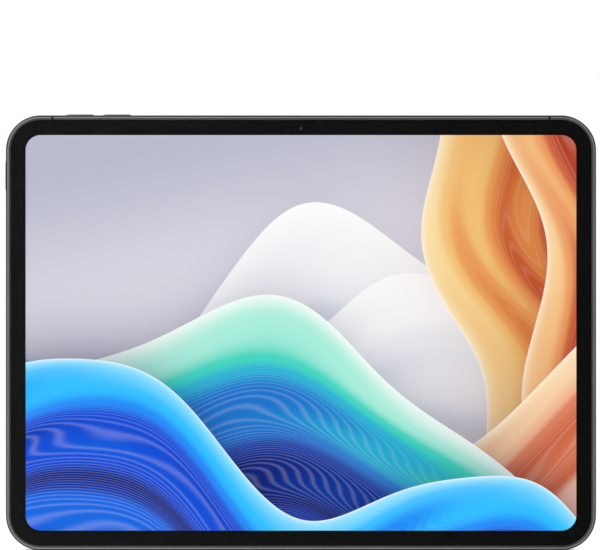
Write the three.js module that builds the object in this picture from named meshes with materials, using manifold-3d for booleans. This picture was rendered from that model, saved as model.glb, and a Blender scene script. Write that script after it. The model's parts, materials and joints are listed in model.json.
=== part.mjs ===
// A tablet computer standing upright on its lower long edge, in millimetres.
//
// The tablet is built lying on its back: x runs along the long edges, y towards the top edge and z out of
// the screen, with the middle of the body at the origin. The whole group is then stood up, so that the
// screen faces -Y, +Z is up and the origin is the middle of the lower long edge.
//
// A "depth" is measured from the front face towards the rear. At an edge of the body a "reach" is
// measured from the outer side face inwards, and is negative outside it.

import * as THREE from 'three';
import { mergeVertices } from 'three/addons/utils/BufferGeometryUtils.js';
import Module from 'manifold-3d';

const wasm = await Module();
wasm.setup();

// ---------------------------------------------------------------- driving dimensions

const BODY_WIDTH = 255.1;
const BODY_HEIGHT = 188;
const BODY_THICKNESS = 6.9;
const BODY_CORNER = 15;
const EDGE_ROUND = 0.5;
const WALL = 3.2;
const BACK_PLATE = 1;

// Clearances
const BOND = 0.05; // adhesive or a resting face between flat layers
const FIT = 0.1; // a fixed part in its seat
const LOOSE = 0.3; // inner parts beside one another
const RUNNING = 0.06; // a pin or plunger in its bore, at the radius
const SLIDING = 0.1; // a key or a tray in its slot, on each side

// Front: cover glass and screen
const FRONT_RIM = 1.35;
const GLASS_GAP = 0.35;
const GLASS_THICKNESS = 0.7;
const BORDER = 8.5; // from the side faces to the lit area
const SCREEN_CORNER = 6.5;
const MASK_THICKNESS = 0.08;
const MASK_MARGIN = 0.4;
const GASKET_THICKNESS = 0.3;
const GASKET_WIDTH = 1.25;
const PANEL_BORDER = 1;
const PANEL_THICKNESS = 0.6;
const PAN_WALL = 0.3;
const PAN_FLOOR = 0.2;
const PAN_CORNER = 2;
const DIFFUSER_THICKNESS = 0.15;
const GUIDE_THICKNESS = 0.4;
const REFLECTOR_THICKNESS = 0.1;
const LED_STRIP_WIDTH = 1.1;

// Rear: glass strip along the top edge
const REAR_RIM = 2;
const STRIP_HEIGHT = 39.3;
const STRIP_CORNER = 1.8;
const STRIP_GLASS = 0.55;
const STRIP_GAP = 0.15;
const WINDOW_INSIDE_WALL = 0.15; // of the strip's window, from the inner face of the wall
const CARRIER_THICKNESS = 1.3;
const CARRIER_LIP = 2;
const INSERT_WIDTH = 1.1;
const INSERT_FROM_SIDE = 20.1;
const INSERT_REACH = 2.3;

// Rear camera, centred on the body
const CAMERA_FROM_TOP = 20.75;
const CAMERA_RING_RADIUS = 12.15;
const CAMERA_PROUD = 1.2;
const CAMERA_BEVEL = 0.4;
const CAMERA_FLANGE = 1.2;
const CAMERA_FLANGE_THICKNESS = 0.55;
const COVER_RADIUS = 9.6;
const COVER_THICKNESS = 0.6;
const COVER_SUNK = 0.45;
const CONE_WALL = 0.3;
const CONE_RISE = 0.9;
const LENS_RADIUS = 1.8;
const LENS_HEIGHT = 1;
const BARREL_RADIUS = 3.4;
const MODULE_SIZE = 8.5;

// Front camera, in the border above the screen
const FRONT_CAMERA_FROM_TOP = 5.6;
const FRONT_SNOUT_RADIUS = 1.35;
const FRONT_LENS_RADIUS = 0.8;
const FRONT_LENS_THICKNESS = 0.25;
const FRONT_MODULE_WIDTH = 6.5;
const FRONT_MODULE_HEIGHT = 3.5;
const FRONT_MODULE_THICKNESS = 1.7;

// Keys
const VOLUME_KEY_LENGTH = 12.1;
const VOLUME_UP_FROM_SIDE = 31.95;
const VOLUME_DOWN_FROM_SIDE = 48.05;
const POWER_KEY_LENGTH = 13;
const POWER_FROM_TOP = 25.8;
const KEY_HEIGHT = 2.2;
const VOLUME_KEY_PROUD = 0.6;
const POWER_KEY_PROUD = 0.48;
const KEY_BEVEL = 0.2;
const KEY_SHOULDER = 1.4;
const KEY_FLANGE = 0.5;
const KEY_LIP = 0.45;
const KEY_NUB_RADIUS = 0.8;
const KEY_NUB_LENGTH = 0.5;
const KEY_TRAVEL = 0.3;
const PLUNGER_RADIUS = 0.7;
const PLUNGER_LENGTH = 0.5;
const PLUNGER_ENGAGED = 0.15;
const SWITCH_WIDTH = 3.4;
const SWITCH_HEIGHT = 2.4;
const SWITCH_DEPTH = 0.75;
const KEY_FLEX = 0.2;
const KEY_BRACKET = 0.5;

// Boards and cells
const CELL_WIDTH = 92;
const CELL_HEIGHT = 96;
const CELL_CORNER = 3;
const CELL_FROM_BOTTOM = 12;
const CELL_APART = 3;
const CELL_BOARD_WIDTH = 60;
const CELL_BOARD_HEIGHT = 4;
const CELL_BOARD_THICKNESS = 1.2;
const MAIN_BOARD_HALF = 70;
const BOARD_THICKNESS = 0.7;
const SHIELD_HEIGHT = 17;
const SHIELD_FROM_BOARD_EDGE = 3;
const SUB_BOARD_WIDTH = 22.5;
const SUB_BOARD_HEIGHT = 40;
const SUB_BOARD_STANDOFF = 1;
const FLEX_THICKNESS = 0.15;
const FLEX_WIDTH = 3.5;
const DISPLAY_FLEX_WIDTH = 30;
const GRAPHITE_THICKNESS = 0.1;

// Fasteners
const SCREW_RADIUS = 0.7;
const SCREW_HEAD_RADIUS = 1.5;
const SCREW_HEAD = 0.45;
const SCREW_LENGTH = 1.8;
const BOSS_RADIUS = 2.1;

// USB-C receptacle, in the middle of the right-hand side
const PORT_WIDTH = 8.94;
const PORT_HEIGHT = 3.26;
const PORT_SHELL = 0.3;
const PORT_LENGTH = 6.6;
const PORT_SUNK = 0.35;
const TONGUE_WIDTH = 6.7;
const TONGUE_THICKNESS = 0.7;
const TONGUE_LENGTH = 4.4;
const TONGUE_BASE = 1.5;

// Loudspeakers, two on each short side
const SPEAKER_FROM_MIDDLE = 40;
const SPEAKER_LENGTH = 32;
const SPEAKER_WIDTH = 23;
const SPEAKER_CORNER = 3;
const SPEAKER_PORT_LENGTH = 17;
const SPEAKER_PORT_HEIGHT = 1.9;
const SOUND_HOLES = 6;
const SOUND_HOLE_RADIUS = 0.55;
const SOUND_HOLE_PITCH = 2.3;

// Card tray, on the right-hand side near the top
const TRAY_FROM_TOP = 26;
const TRAY_HEAD_LENGTH = 14.4;
const TRAY_HEAD_HEIGHT = 2;
const TRAY_HEAD_DEPTH = 1.2;
const TRAY_PLATE_WIDTH = 10.6;
const TRAY_PLATE_THICKNESS = 1.2;
const TRAY_LENGTH = 22.5;
const TRAY_OFFSET = 1.4; // of the plate from the middle of the head
const CARD_WIDTH = 9.2;
const CARD_LENGTH = 12.6;
const CARD_POCKET = 0.8;
const PIN_HOLE_RADIUS = 0.45;
const PIN_OFFSET = 5.6;
const ROD_SIZE = 0.9;
const ROD_TRAVEL = 1.2;
const LEVER_ARM = 4.4;
const LEVER_THICKNESS = 0.9;
const LEVER_WIDTH = 1.1;
const PIVOT_RADIUS = 0.6;
const SOCKET_WALL = 0.2;

// Facets
const CORNER_STEPS = 8;
const SMALL_STEPS = 3;
const EDGE_STEPS = 2;
const PILL_STEPS = 5;
const HOLE_SIDES = 6;
const PIN_SIDES = 12;
const RING_SIDES = 36;

// Every slot is cut this far past the surface that it opens through.
const PAST = 1;

// ---------------------------------------------------------------- derived places

const BOARD_HOLE_RADIUS = SCREW_RADIUS + FIT;
const SIDE_DEPTH = BODY_THICKNESS / 2; // middle of the keys, port and sound holes
const FLOOR = BODY_THICKNESS - BACK_PLATE;
const CAVITY_X = BODY_WIDTH / 2 - WALL;
const CAVITY_Y = BODY_HEIGHT / 2 - WALL;

const MASK_DEPTH = GLASS_THICKNESS + BOND;
const UNDER_MASK = MASK_DEPTH + MASK_THICKNESS + BOND;
const LEDGE = UNDER_MASK + GASKET_THICKNESS + BOND;
const PANEL_BACK = UNDER_MASK + PANEL_THICKNESS;
const SCREEN_WIDTH = BODY_WIDTH - 2 * BORDER;
const SCREEN_HEIGHT = BODY_HEIGHT - 2 * BORDER;
const PANEL_WIDTH = SCREEN_WIDTH + 2 * PANEL_BORDER;
const PANEL_HEIGHT = SCREEN_HEIGHT + 2 * PANEL_BORDER;
const DIFFUSER_DEPTH = PANEL_BACK + 2 * BOND;
const GUIDE_DEPTH = DIFFUSER_DEPTH + DIFFUSER_THICKNESS + BOND;
const REFLECTOR_DEPTH = GUIDE_DEPTH + GUIDE_THICKNESS + BOND;
const PAN_INSIDE = REFLECTOR_DEPTH + REFLECTOR_THICKNESS + BOND;
const PAN_BACK = PAN_INSIDE + PAN_FLOOR;

const STRIP_LEDGE = WALL + WINDOW_INSIDE_WALL - REAR_RIM;
const STRIP_SEAT = BODY_THICKNESS - STRIP_GLASS - BOND;
const CARRIER_FRONT = STRIP_SEAT - CARRIER_THICKNESS;
const INNER_FRONT = PAN_BACK + LOOSE / 2;
const INNER_BACK = CARRIER_FRONT - BOND;

const CAMERA_Y = BODY_HEIGHT / 2 - CAMERA_FROM_TOP;
const FRONT_CAMERA_Y = BODY_HEIGHT / 2 - FRONT_CAMERA_FROM_TOP;
const RING_TOP = BODY_THICKNESS + CAMERA_PROUD;
const COVER_BACK = RING_TOP - COVER_SUNK - COVER_THICKNESS;

const CELL_BOTTOM = -CAVITY_Y + CELL_FROM_BOTTOM;
const CELL_TOP = CELL_BOTTOM + CELL_HEIGHT;
const CELL_BOARD_TOP = CELL_TOP + LOOSE + CELL_BOARD_HEIGHT;
const BOARD_BOTTOM = CELL_BOARD_TOP + 8;
const BOARD_TOP = PANEL_HEIGHT / 2 - 0.5;
const BOARD_FRONT = INNER_FRONT + SCREW_HEAD + BOND;
const BOARD_BACK = BOARD_FRONT + BOARD_THICKNESS;

const SUB_BOARD_BACK = FLOOR - SUB_BOARD_STANDOFF - BOND;
const SUB_BOARD_FRONT = SUB_BOARD_BACK - BOARD_THICKNESS;
const SUB_BOARD_RIGHT = CAVITY_X - 2;
const SUB_BOARD_LEFT = SUB_BOARD_RIGHT - SUB_BOARD_WIDTH;

const KEY_FLANGE_OUTER = KEY_SHOULDER + BOND;
const KEY_FLANGE_INNER = KEY_FLANGE_OUTER + KEY_FLANGE;
// The nub reaches far enough for the switch's back to stand clear of the wall.
const SWITCH_STACK = BOND + PLUNGER_LENGTH - PLUNGER_ENGAGED + SWITCH_DEPTH;
const KEY_NUB_END = Math.max(KEY_FLANGE_INNER + KEY_NUB_LENGTH, WALL + BOND - SWITCH_STACK);
const PLUNGER_OUTER = KEY_NUB_END + BOND;
const PLUNGER_INNER = PLUNGER_OUTER + PLUNGER_LENGTH;
const SWITCH_OUTER = PLUNGER_INNER - PLUNGER_ENGAGED;
const SWITCH_INNER = SWITCH_OUTER + SWITCH_DEPTH;
const KEY_FLEX_OUTER = SWITCH_INNER + BOND;
const KEY_BRACKET_OUTER = KEY_FLEX_OUTER + KEY_FLEX + BOND;

const TRAY_Y = BODY_HEIGHT / 2 - TRAY_FROM_TOP;
const TRAY_INNER = BODY_WIDTH / 2 - TRAY_LENGTH;
const SOCKET_FRONT = INNER_FRONT;
const SOCKET_BACK = INNER_BACK;
const TRAY_PLATE_FRONT = (SOCKET_FRONT + SOCKET_BACK - TRAY_PLATE_THICKNESS) / 2;
const TRAY_PLATE_BACK = TRAY_PLATE_FRONT + TRAY_PLATE_THICKNESS;
const ROD_Y = TRAY_Y - PIN_OFFSET;
const ROD_DEPTH = SIDE_DEPTH;
const PIVOT_Y = ROD_Y + LEVER_ARM;
const LEVER_RIGHT = TRAY_INNER - ROD_TRAVEL - LOOSE;
const PIVOT_X = LEVER_RIGHT - LEVER_WIDTH / 2;
const SOCKET_LEFT = PIVOT_X - LEVER_ARM / 2 - 2 * SOCKET_WALL;

const EDGES = {
  top: { angle: 0, reach: BODY_HEIGHT / 2, sense: 1 },
  left: { angle: Math.PI / 2, reach: BODY_WIDTH / 2, sense: 1 },
  right: { angle: -Math.PI / 2, reach: BODY_WIDTH / 2, sense: -1 },
};

// ---------------------------------------------------------------- shapes and solids

const zOf = (depth) => BODY_THICKNESS / 2 - depth;

function roundedRect(width, height, radius, x = 0, y = 0) {
  const right = x + width / 2 - radius;
  const left = x - width / 2 + radius;
  const top = y + height / 2 - radius;
  const bottom = y - height / 2 + radius;
  const shape = new THREE.Shape();
  shape.absarc(right, top, radius, 0, Math.PI / 2);
  shape.absarc(left, top, radius, Math.PI / 2, Math.PI);
  shape.absarc(left, bottom, radius, Math.PI, 1.5 * Math.PI);
  shape.absarc(right, bottom, radius, 1.5 * Math.PI, 2 * Math.PI);
  shape.closePath();
  return shape;
}

function pill(length, height) {
  const radius = height / 2;
  const straight = length / 2 - radius;
  const shape = new THREE.Shape();
  shape.absarc(straight, 0, radius, -Math.PI / 2, Math.PI / 2);
  shape.absarc(-straight, 0, radius, Math.PI / 2, 1.5 * Math.PI);
  shape.closePath();
  return shape;
}

function circle(radius) {
  const shape = new THREE.Shape();
  shape.absarc(0, 0, radius, 0, 2 * Math.PI);
  return shape;
}

function extruded(shape, length, steps, bevel = 0, bevelSteps = 1) {
  return new THREE.ExtrudeGeometry(shape, {
    depth: length - 2 * bevel,
    curveSegments: steps,
    bevelEnabled: bevel > 0,
    bevelThickness: bevel,
    bevelSize: bevel,
    bevelOffset: -bevel,
    bevelSegments: bevelSteps,
  }).translate(0, 0, bevel);
}

// A flat plate of that outline, between two depths.
function plate(shape, front, back, steps = CORNER_STEPS, bevel = 0) {
  return extruded(shape, back - front, steps, bevel).translate(0, 0, zOf(back));
}

function block([x0, x1], [y0, y1], [front, back]) {
  return new THREE.BoxGeometry(x1 - x0, y1 - y0, back - front).translate(
    (x0 + x1) / 2,
    (y0 + y1) / 2,
    zOf((front + back) / 2),
  );
}

function rod(x, y, radius, front, back, sides = PIN_SIDES) {
  return new THREE.CylinderGeometry(radius, radius, back - front, sides)
    .rotateX(Math.PI / 2)
    .translate(x, y, zOf((front + back) / 2));
}

// A turned part about an axis along z. Its profile is a closed list of [radius, depth], which runs
// rearwards on the outside.
function turned(x, y, profile, sides = RING_SIDES) {
  const points = profile.map(([radius, depth]) => new THREE.Vector2(radius, zOf(depth))).reverse();
  return new THREE.LatheGeometry(points, sides).rotateX(Math.PI / 2).translate(x, y, 0);
}

// An outline at an edge of the body, from one reach to another. It is drawn along the edge and along z.
function edgePlate(shape, outer, inner, steps = PILL_STEPS, bevel = 0) {
  return extruded(shape, inner - outer, steps, bevel)
    .rotateX(Math.PI / 2)
    .translate(0, -outer, 0);
}

function edgeBlock(length, height, outer, inner) {
  return new THREE.BoxGeometry(length, inner - outer, height).translate(0, -(outer + inner) / 2, 0);
}

function atEdge(geometry, edge, position) {
  const { angle, reach, sense } = EDGES[edge];
  return geometry.translate(sense * position, reach, 0).rotateZ(angle);
}

function solid(geometry) {
  const bare = geometry.clone();
  bare.deleteAttribute('normal');
  bare.deleteAttribute('uv');
  const merged = mergeVertices(bare, 1e-4);
  return new wasm.Manifold(
    new wasm.Mesh({
      numProp: 3,
      vertProperties: new Float32Array(merged.attributes.position.array),
      triVerts: new Uint32Array(merged.index.array),
    }),
  );
}

function surface(body) {
  const { vertProperties, triVerts } = body.getMesh();
  const geometry = new THREE.BufferGeometry();
  geometry.setAttribute('position', new THREE.BufferAttribute(vertProperties, 3));
  geometry.setIndex(new THREE.BufferAttribute(triVerts, 1));
  geometry.computeVertexNormals();
  return geometry;
}

const joined = (...parts) => parts.map(solid).reduce((whole, part) => whole.add(part));
const cut = (body, ...tools) => tools.reduce((left, tool) => left.subtract(solid(tool)), body);

// ---------------------------------------------------------------- finishes

function finish(color, roughness, metalness) {
  return new THREE.MeshStandardMaterial({ color, roughness, metalness });
}

const blastedMetal = () => finish(0x76777a, 0.42, 0.9);
const polishedMetal = () => finish(0xa9abae, 0.2, 1);
const blackPlastic = () => finish(0x1c1c1e, 0.6, 0);
const clearGlass = () => finish(0x101114, 0.04, 0);
const darkGlass = () => finish(0x2c2d30, 0.06, 0.1);
const blackFilm = () => finish(0x0b0b0c, 0.5, 0);
const rubber = () => finish(0x161616, 0.85, 0);
const sheet = () => finish(0xe8e8e6, 0.5, 0);
const steel = () => finish(0x9a9b9d, 0.35, 1);
const boardGreen = () => finish(0x16341f, 0.5, 0);
const flexCopper = () => finish(0xa8672c, 0.45, 0.2);
const pouch = () => finish(0x2a2b2e, 0.5, 0.4);

const tablet = new THREE.Group();

function add(name, shape, material) {
  const geometry = shape instanceof wasm.Manifold ? surface(shape) : shape;
  const mesh = new THREE.Mesh(geometry, material);
  mesh.name = name;
  tablet.add(mesh);
}

// ---------------------------------------------------------------- housing

// The outline of the body, brought in by a distance all round.
function bodyOutline(inset) {
  return roundedRect(BODY_WIDTH - 2 * inset, BODY_HEIGHT - 2 * inset, BODY_CORNER - inset);
}

// The outline of the rear glass strip's opening, brought in by a distance all round.
function stripOutline(inset) {
  const right = BODY_WIDTH / 2 - REAR_RIM - inset;
  const top = BODY_HEIGHT / 2 - REAR_RIM - inset;
  const bottom = BODY_HEIGHT / 2 - STRIP_HEIGHT + inset;
  const upper = BODY_CORNER - REAR_RIM - inset;
  const lower = Math.max(STRIP_CORNER - inset, STRIP_CORNER / 3);
  const shape = new THREE.Shape();
  shape.absarc(right - upper, top - upper, upper, 0, Math.PI / 2);
  shape.absarc(-right + upper, top - upper, upper, Math.PI / 2, Math.PI);
  shape.absarc(-right + lower, bottom + lower, lower, Math.PI, 1.5 * Math.PI);
  shape.absarc(right - lower, bottom + lower, lower, 1.5 * Math.PI, 2 * Math.PI);
  shape.closePath();
  return shape;
}

function keySlots(length, edge, position) {
  const slot = pill(length + 2 * SLIDING, KEY_HEIGHT + 2 * SLIDING);
  const play = 2 * (KEY_LIP + SLIDING);
  return [
    edgePlate(slot, -PAST, KEY_SHOULDER + BOND),
    edgeBlock(length + play, KEY_HEIGHT + play, KEY_SHOULDER, WALL + PAST),
  ].map((tool) => atEdge(tool, edge, position));
}

function soundHoles(edge, position) {
  const first = -((SOUND_HOLES - 1) / 2) * SOUND_HOLE_PITCH;
  return Array.from({ length: SOUND_HOLES }, (_, i) => {
    const hole = edgePlate(circle(SOUND_HOLE_RADIUS), -PAST, WALL + PAST, HOLE_SIDES);
    return atEdge(hole, edge, position + first + i * SOUND_HOLE_PITCH);
  });
}

function trayOpening() {
  const headLength = TRAY_HEAD_LENGTH + 2 * SLIDING;
  const head = roundedRect(headLength, TRAY_HEAD_HEIGHT + 2 * SLIDING, TRAY_HEAD_HEIGHT / 2);
  const plateMiddle = TRAY_Y + TRAY_OFFSET;
  const plateTop = plateMiddle + TRAY_PLATE_WIDTH / 2 + SLIDING;
  const across = [ROD_Y - ROD_SIZE / 2 - SLIDING, plateTop];
  const through = [BODY_WIDTH / 2 - WALL - PAST, BODY_WIDTH / 2 - TRAY_HEAD_DEPTH];
  const depths = [ROD_DEPTH - ROD_SIZE / 2 - SLIDING, TRAY_PLATE_BACK + SLIDING];
  return [
    atEdge(edgePlate(head, -PAST, TRAY_HEAD_DEPTH + BOND, SMALL_STEPS), 'right', TRAY_Y),
    block(through, across, depths),
  ];
}

const boardScrews = [-1, 1].map((side) => ({
  name: side < 0 ? 'board_screw_left' : 'board_screw_right',
  x: side * (MAIN_BOARD_HALF - 6),
  y: BOARD_BOTTOM + 5,
  front: BOARD_FRONT,
  back: BOARD_BACK,
}));
const subBoardScrews = [-1, 1].map((side) => ({
  name: side < 0 ? 'port_screw_lower' : 'port_screw_upper',
  x: SUB_BOARD_RIGHT - 8,
  y: side * (SUB_BOARD_HEIGHT / 2 - 4),
  front: SUB_BOARD_FRONT,
  back: SUB_BOARD_BACK,
}));
const screws = [...boardScrews, ...subBoardScrews];

function housingBeforeInserts() {
  const blank = extruded(bodyOutline(0), BODY_THICKNESS, CORNER_STEPS, EDGE_ROUND, EDGE_STEPS);
  let body = cut(
    solid(blank.translate(0, 0, zOf(BODY_THICKNESS))),
    plate(bodyOutline(FRONT_RIM), -PAST, LEDGE),
    plate(bodyOutline(WALL), LEDGE - PAST / 2, FLOOR),
    plate(stripOutline(0), STRIP_SEAT, BODY_THICKNESS + PAST),
    plate(stripOutline(STRIP_LEDGE), FLOOR - PAST / 2, BODY_THICKNESS),
    ...keySlots(VOLUME_KEY_LENGTH, 'top', VOLUME_UP_FROM_SIDE - BODY_WIDTH / 2),
    ...keySlots(VOLUME_KEY_LENGTH, 'top', VOLUME_DOWN_FROM_SIDE - BODY_WIDTH / 2),
    ...keySlots(POWER_KEY_LENGTH, 'left', BODY_HEIGHT / 2 - POWER_FROM_TOP),
    ...['left', 'right'].flatMap((edge) =>
      [-1, 1].flatMap((side) => soundHoles(edge, side * SPEAKER_FROM_MIDDLE)),
    ),
    atEdge(edgePlate(pill(PORT_WIDTH + 2 * FIT, PORT_HEIGHT + 2 * FIT), -PAST, WALL + PAST), 'right', 0),
    ...trayOpening(),
  );
  for (const { x, y, back } of screws) {
    body = body.add(solid(rod(x, y, BOSS_RADIUS, back + BOND, FLOOR + BACK_PLATE / 2)));
    body = cut(body, rod(x, y, BOARD_HOLE_RADIUS, back - PAST, FLOOR + BACK_PLATE / 4));
  }
  return body;
}

function buildHousing() {
  const blank = housingBeforeInserts();
  const top = BODY_HEIGHT / 2;
  const slots = [-1, 1].map((side) => {
    const x = side * (BODY_WIDTH / 2 - INSERT_FROM_SIDE);
    const across = (width) => [x - width / 2, x + width / 2];
    const slot = [top - INSERT_REACH, top + PAST];
    const filling = [top - INSERT_REACH + BOND, top + PAST];
    const depths = [-PAST, BODY_THICKNESS + PAST];
    return {
      name: side < 0 ? 'antenna_insert_left' : 'antenna_insert_right',
      slot: block(across(INSERT_WIDTH), slot, depths),
      filling: block(across(INSERT_WIDTH - 2 * BOND), filling, depths),
    };
  });
  add('rear_housing', cut(blank, ...slots.map(({ slot }) => slot)), blastedMetal());
  for (const { name, filling } of slots) {
    add(name, blank.intersect(solid(filling)), blackPlastic());
  }
}

function buildRearStrip() {
  const hole = (clearance, front, back) =>
    rod(0, CAMERA_Y, CAMERA_RING_RADIUS + clearance, front, back, RING_SIDES);
  const glass = cut(
    solid(plate(stripOutline(STRIP_GAP), STRIP_SEAT + BOND, BODY_THICKNESS)),
    hole(2 * FIT, FLOOR, RING_TOP),
  );
  add('rear_glass_strip', glass, darkGlass());

  const lipX = CAVITY_X - CAMERA_RING_RADIUS;
  const windowBottom = BODY_HEIGHT / 2 - STRIP_HEIGHT + STRIP_LEDGE;
  const carrier = cut(
    joined(
      plate(stripOutline(STRIP_LEDGE + FIT), CARRIER_FRONT, STRIP_SEAT - BOND),
      block([-lipX, lipX], [windowBottom - CARRIER_LIP, windowBottom + PAST], [CARRIER_FRONT, FLOOR - BOND]),
    ),
    hole(2 * FIT, CARRIER_FRONT - PAST, RING_TOP),
  );
  add('strip_carrier', carrier, blackPlastic());
}

// ---------------------------------------------------------------- cover glass and display

function buildFront() {
  const glassInset = FRONT_RIM + GLASS_GAP;
  add('front_glass', plate(bodyOutline(glassInset), 0, GLASS_THICKNESS), clearGlass());

  const maskOutline = bodyOutline(glassInset + MASK_MARGIN);
  maskOutline.holes.push(roundedRect(SCREEN_WIDTH, SCREEN_HEIGHT, SCREEN_CORNER));
  const mask = cut(
    solid(plate(maskOutline, MASK_DEPTH, MASK_DEPTH + MASK_THICKNESS)),
    rod(0, FRONT_CAMERA_Y, FRONT_LENS_RADIUS + FIT, 0, LEDGE),
  );
  add('bezel_mask', mask, blackFilm());

  const gasketOutline = bodyOutline(glassInset + MASK_MARGIN / 2);
  gasketOutline.holes.push(bodyOutline(glassInset + MASK_MARGIN / 2 + GASKET_WIDTH));
  add('front_gasket', plate(gasketOutline, UNDER_MASK, UNDER_MASK + GASKET_THICKNESS), rubber());
}

function buildDisplay() {
  const sheetOutline = (inset) =>
    roundedRect(PANEL_WIDTH - 2 * inset, PANEL_HEIGHT - 2 * inset, PAN_CORNER - Math.min(inset, 1));
  const layer = (name, inset, front, thickness, material) =>
    add(name, plate(sheetOutline(inset), front, front + thickness, SMALL_STEPS), material);
  layer('display_cell', 0, UNDER_MASK, PANEL_THICKNESS, finish(0xb9b6c8, 0.3, 0));
  const inside = PAN_WALL + FIT;
  layer('diffuser_sheet', inside, DIFFUSER_DEPTH, DIFFUSER_THICKNESS, sheet());
  layer('reflector_sheet', inside, REFLECTOR_DEPTH, REFLECTOR_THICKNESS, sheet());

  const pan = cut(
    solid(plate(sheetOutline(0), PANEL_BACK + BOND, PAN_BACK, SMALL_STEPS)),
    plate(sheetOutline(PAN_WALL), 0, PAN_INSIDE, SMALL_STEPS),
  );
  add('backlight_pan', pan, steel());

  const right = PANEL_WIDTH / 2 - inside;
  const top = PANEL_HEIGHT / 2 - inside;
  const stripTop = -top + LED_STRIP_WIDTH;
  const across = [-right + PAN_CORNER, right - PAN_CORNER];
  const guideDepths = [GUIDE_DEPTH, GUIDE_DEPTH + GUIDE_THICKNESS];
  add('light_guide', block([-right, right], [stripTop + FIT, top - PAN_CORNER], guideDepths), sheet());
  add('led_strip', block(across, [-top, stripTop], guideDepths), finish(0xf2efc8, 0.4, 0));

  // The display's ribbon leaves the panel's top edge, turns round the pan and lies on the main board.
  const left = MAIN_BOARD_HALF / 3;
  const fold = PANEL_HEIGHT / 2 + LOOSE;
  const foldOuter = fold + FLEX_THICKNESS;
  const start = zOf(UNDER_MASK + FIT);
  const back = zOf(BOARD_FRONT - BOND);
  const profile = [
    [PANEL_HEIGHT / 2 + BOND, start],
    [foldOuter, start],
    [foldOuter, back],
    [fold - DISPLAY_FLEX_WIDTH / 3, back],
    [fold - DISPLAY_FLEX_WIDTH / 3, back + FLEX_THICKNESS],
    [fold, back + FLEX_THICKNESS],
    [fold, start - FLEX_THICKNESS],
    [PANEL_HEIGHT / 2 + BOND, start - FLEX_THICKNESS],
  ].map(([y, z]) => new THREE.Vector2(y, z));
  const ribbon = extruded(new THREE.Shape(profile), DISPLAY_FLEX_WIDTH, 1);
  // The profile is drawn in y and z, and is swept along x.
  ribbon.applyMatrix4(new THREE.Matrix4().set(0, 0, 1, left, 1, 0, 0, 0, 0, 1, 0, 0, 0, 0, 0, 1));
  add('display_flex', ribbon, flexCopper());
}

// ---------------------------------------------------------------- battery, boards and flexes

function buildBattery() {
  const depths = [INNER_FRONT, FLOOR - FIT];
  for (const side of [-1, 1]) {
    const x = (side * (CELL_WIDTH + CELL_APART)) / 2;
    const outline = roundedRect(CELL_WIDTH, CELL_HEIGHT, CELL_CORNER, x, (CELL_TOP + CELL_BOTTOM) / 2);
    const name = side < 0 ? 'battery_cell_left' : 'battery_cell_right';
    add(name, plate(outline, ...depths, SMALL_STEPS, LOOSE), pouch());
  }
  const half = CELL_BOARD_WIDTH / 2;
  const middle = (INNER_FRONT + FLOOR) / 2;
  const board = block(
    [-half, half],
    [CELL_TOP + LOOSE, CELL_BOARD_TOP],
    [middle - CELL_BOARD_THICKNESS / 2, middle + CELL_BOARD_THICKNESS / 2],
  );
  add('battery_board', board, boardGreen());
}

function buildMainBoard() {
  const wingBottom = TRAY_Y - TRAY_HEAD_LENGTH / 2;
  const wingRight = SOCKET_LEFT - LOOSE;
  const outline = new THREE.Shape(
    [
      [-MAIN_BOARD_HALF, BOARD_BOTTOM],
      [MAIN_BOARD_HALF, BOARD_BOTTOM],
      [MAIN_BOARD_HALF, wingBottom],
      [wingRight, wingBottom],
      [wingRight, BOARD_TOP],
      [-MAIN_BOARD_HALF, BOARD_TOP],
    ].map(([x, y]) => new THREE.Vector2(x, y)),
  );
  const gap = MODULE_SIZE / 2 + 2 * LOOSE;
  const board = cut(
    solid(plate(outline, BOARD_FRONT, BOARD_BACK)),
    block([-gap, gap], [CAMERA_Y - gap, CAMERA_Y + gap], [0, BODY_THICKNESS]),
    ...boardScrews.map(({ x, y }) => rod(x, y, BOARD_HOLE_RADIUS, 0, BODY_THICKNESS)),
  );
  add('main_board', board, boardGreen());

  const shieldBottom = BOARD_BOTTOM + SHIELD_FROM_BOARD_EDGE;
  const shieldY = shieldBottom + SHIELD_HEIGHT / 2;
  const depths = [BOARD_BACK + BOND, INNER_BACK];
  for (const [name, x, width] of [
    ['processor_shield', 24, 42],
    ['power_shield', -24, 36],
  ]) {
    const outline = roundedRect(width, SHIELD_HEIGHT, 1, x, shieldY);
    add(name, plate(outline, ...depths, SMALL_STEPS, 2 * FIT), steel());
  }

  const pad = block(
    [-MAIN_BOARD_HALF / 2, MAIN_BOARD_HALF / 2],
    [shieldBottom, shieldBottom + SHIELD_HEIGHT - 3],
    [FLOOR - BOND - GRAPHITE_THICKNESS, FLOOR - BOND],
  );
  add('graphite_sheet', pad, finish(0x25262a, 0.55, 0.3));
}

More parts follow.
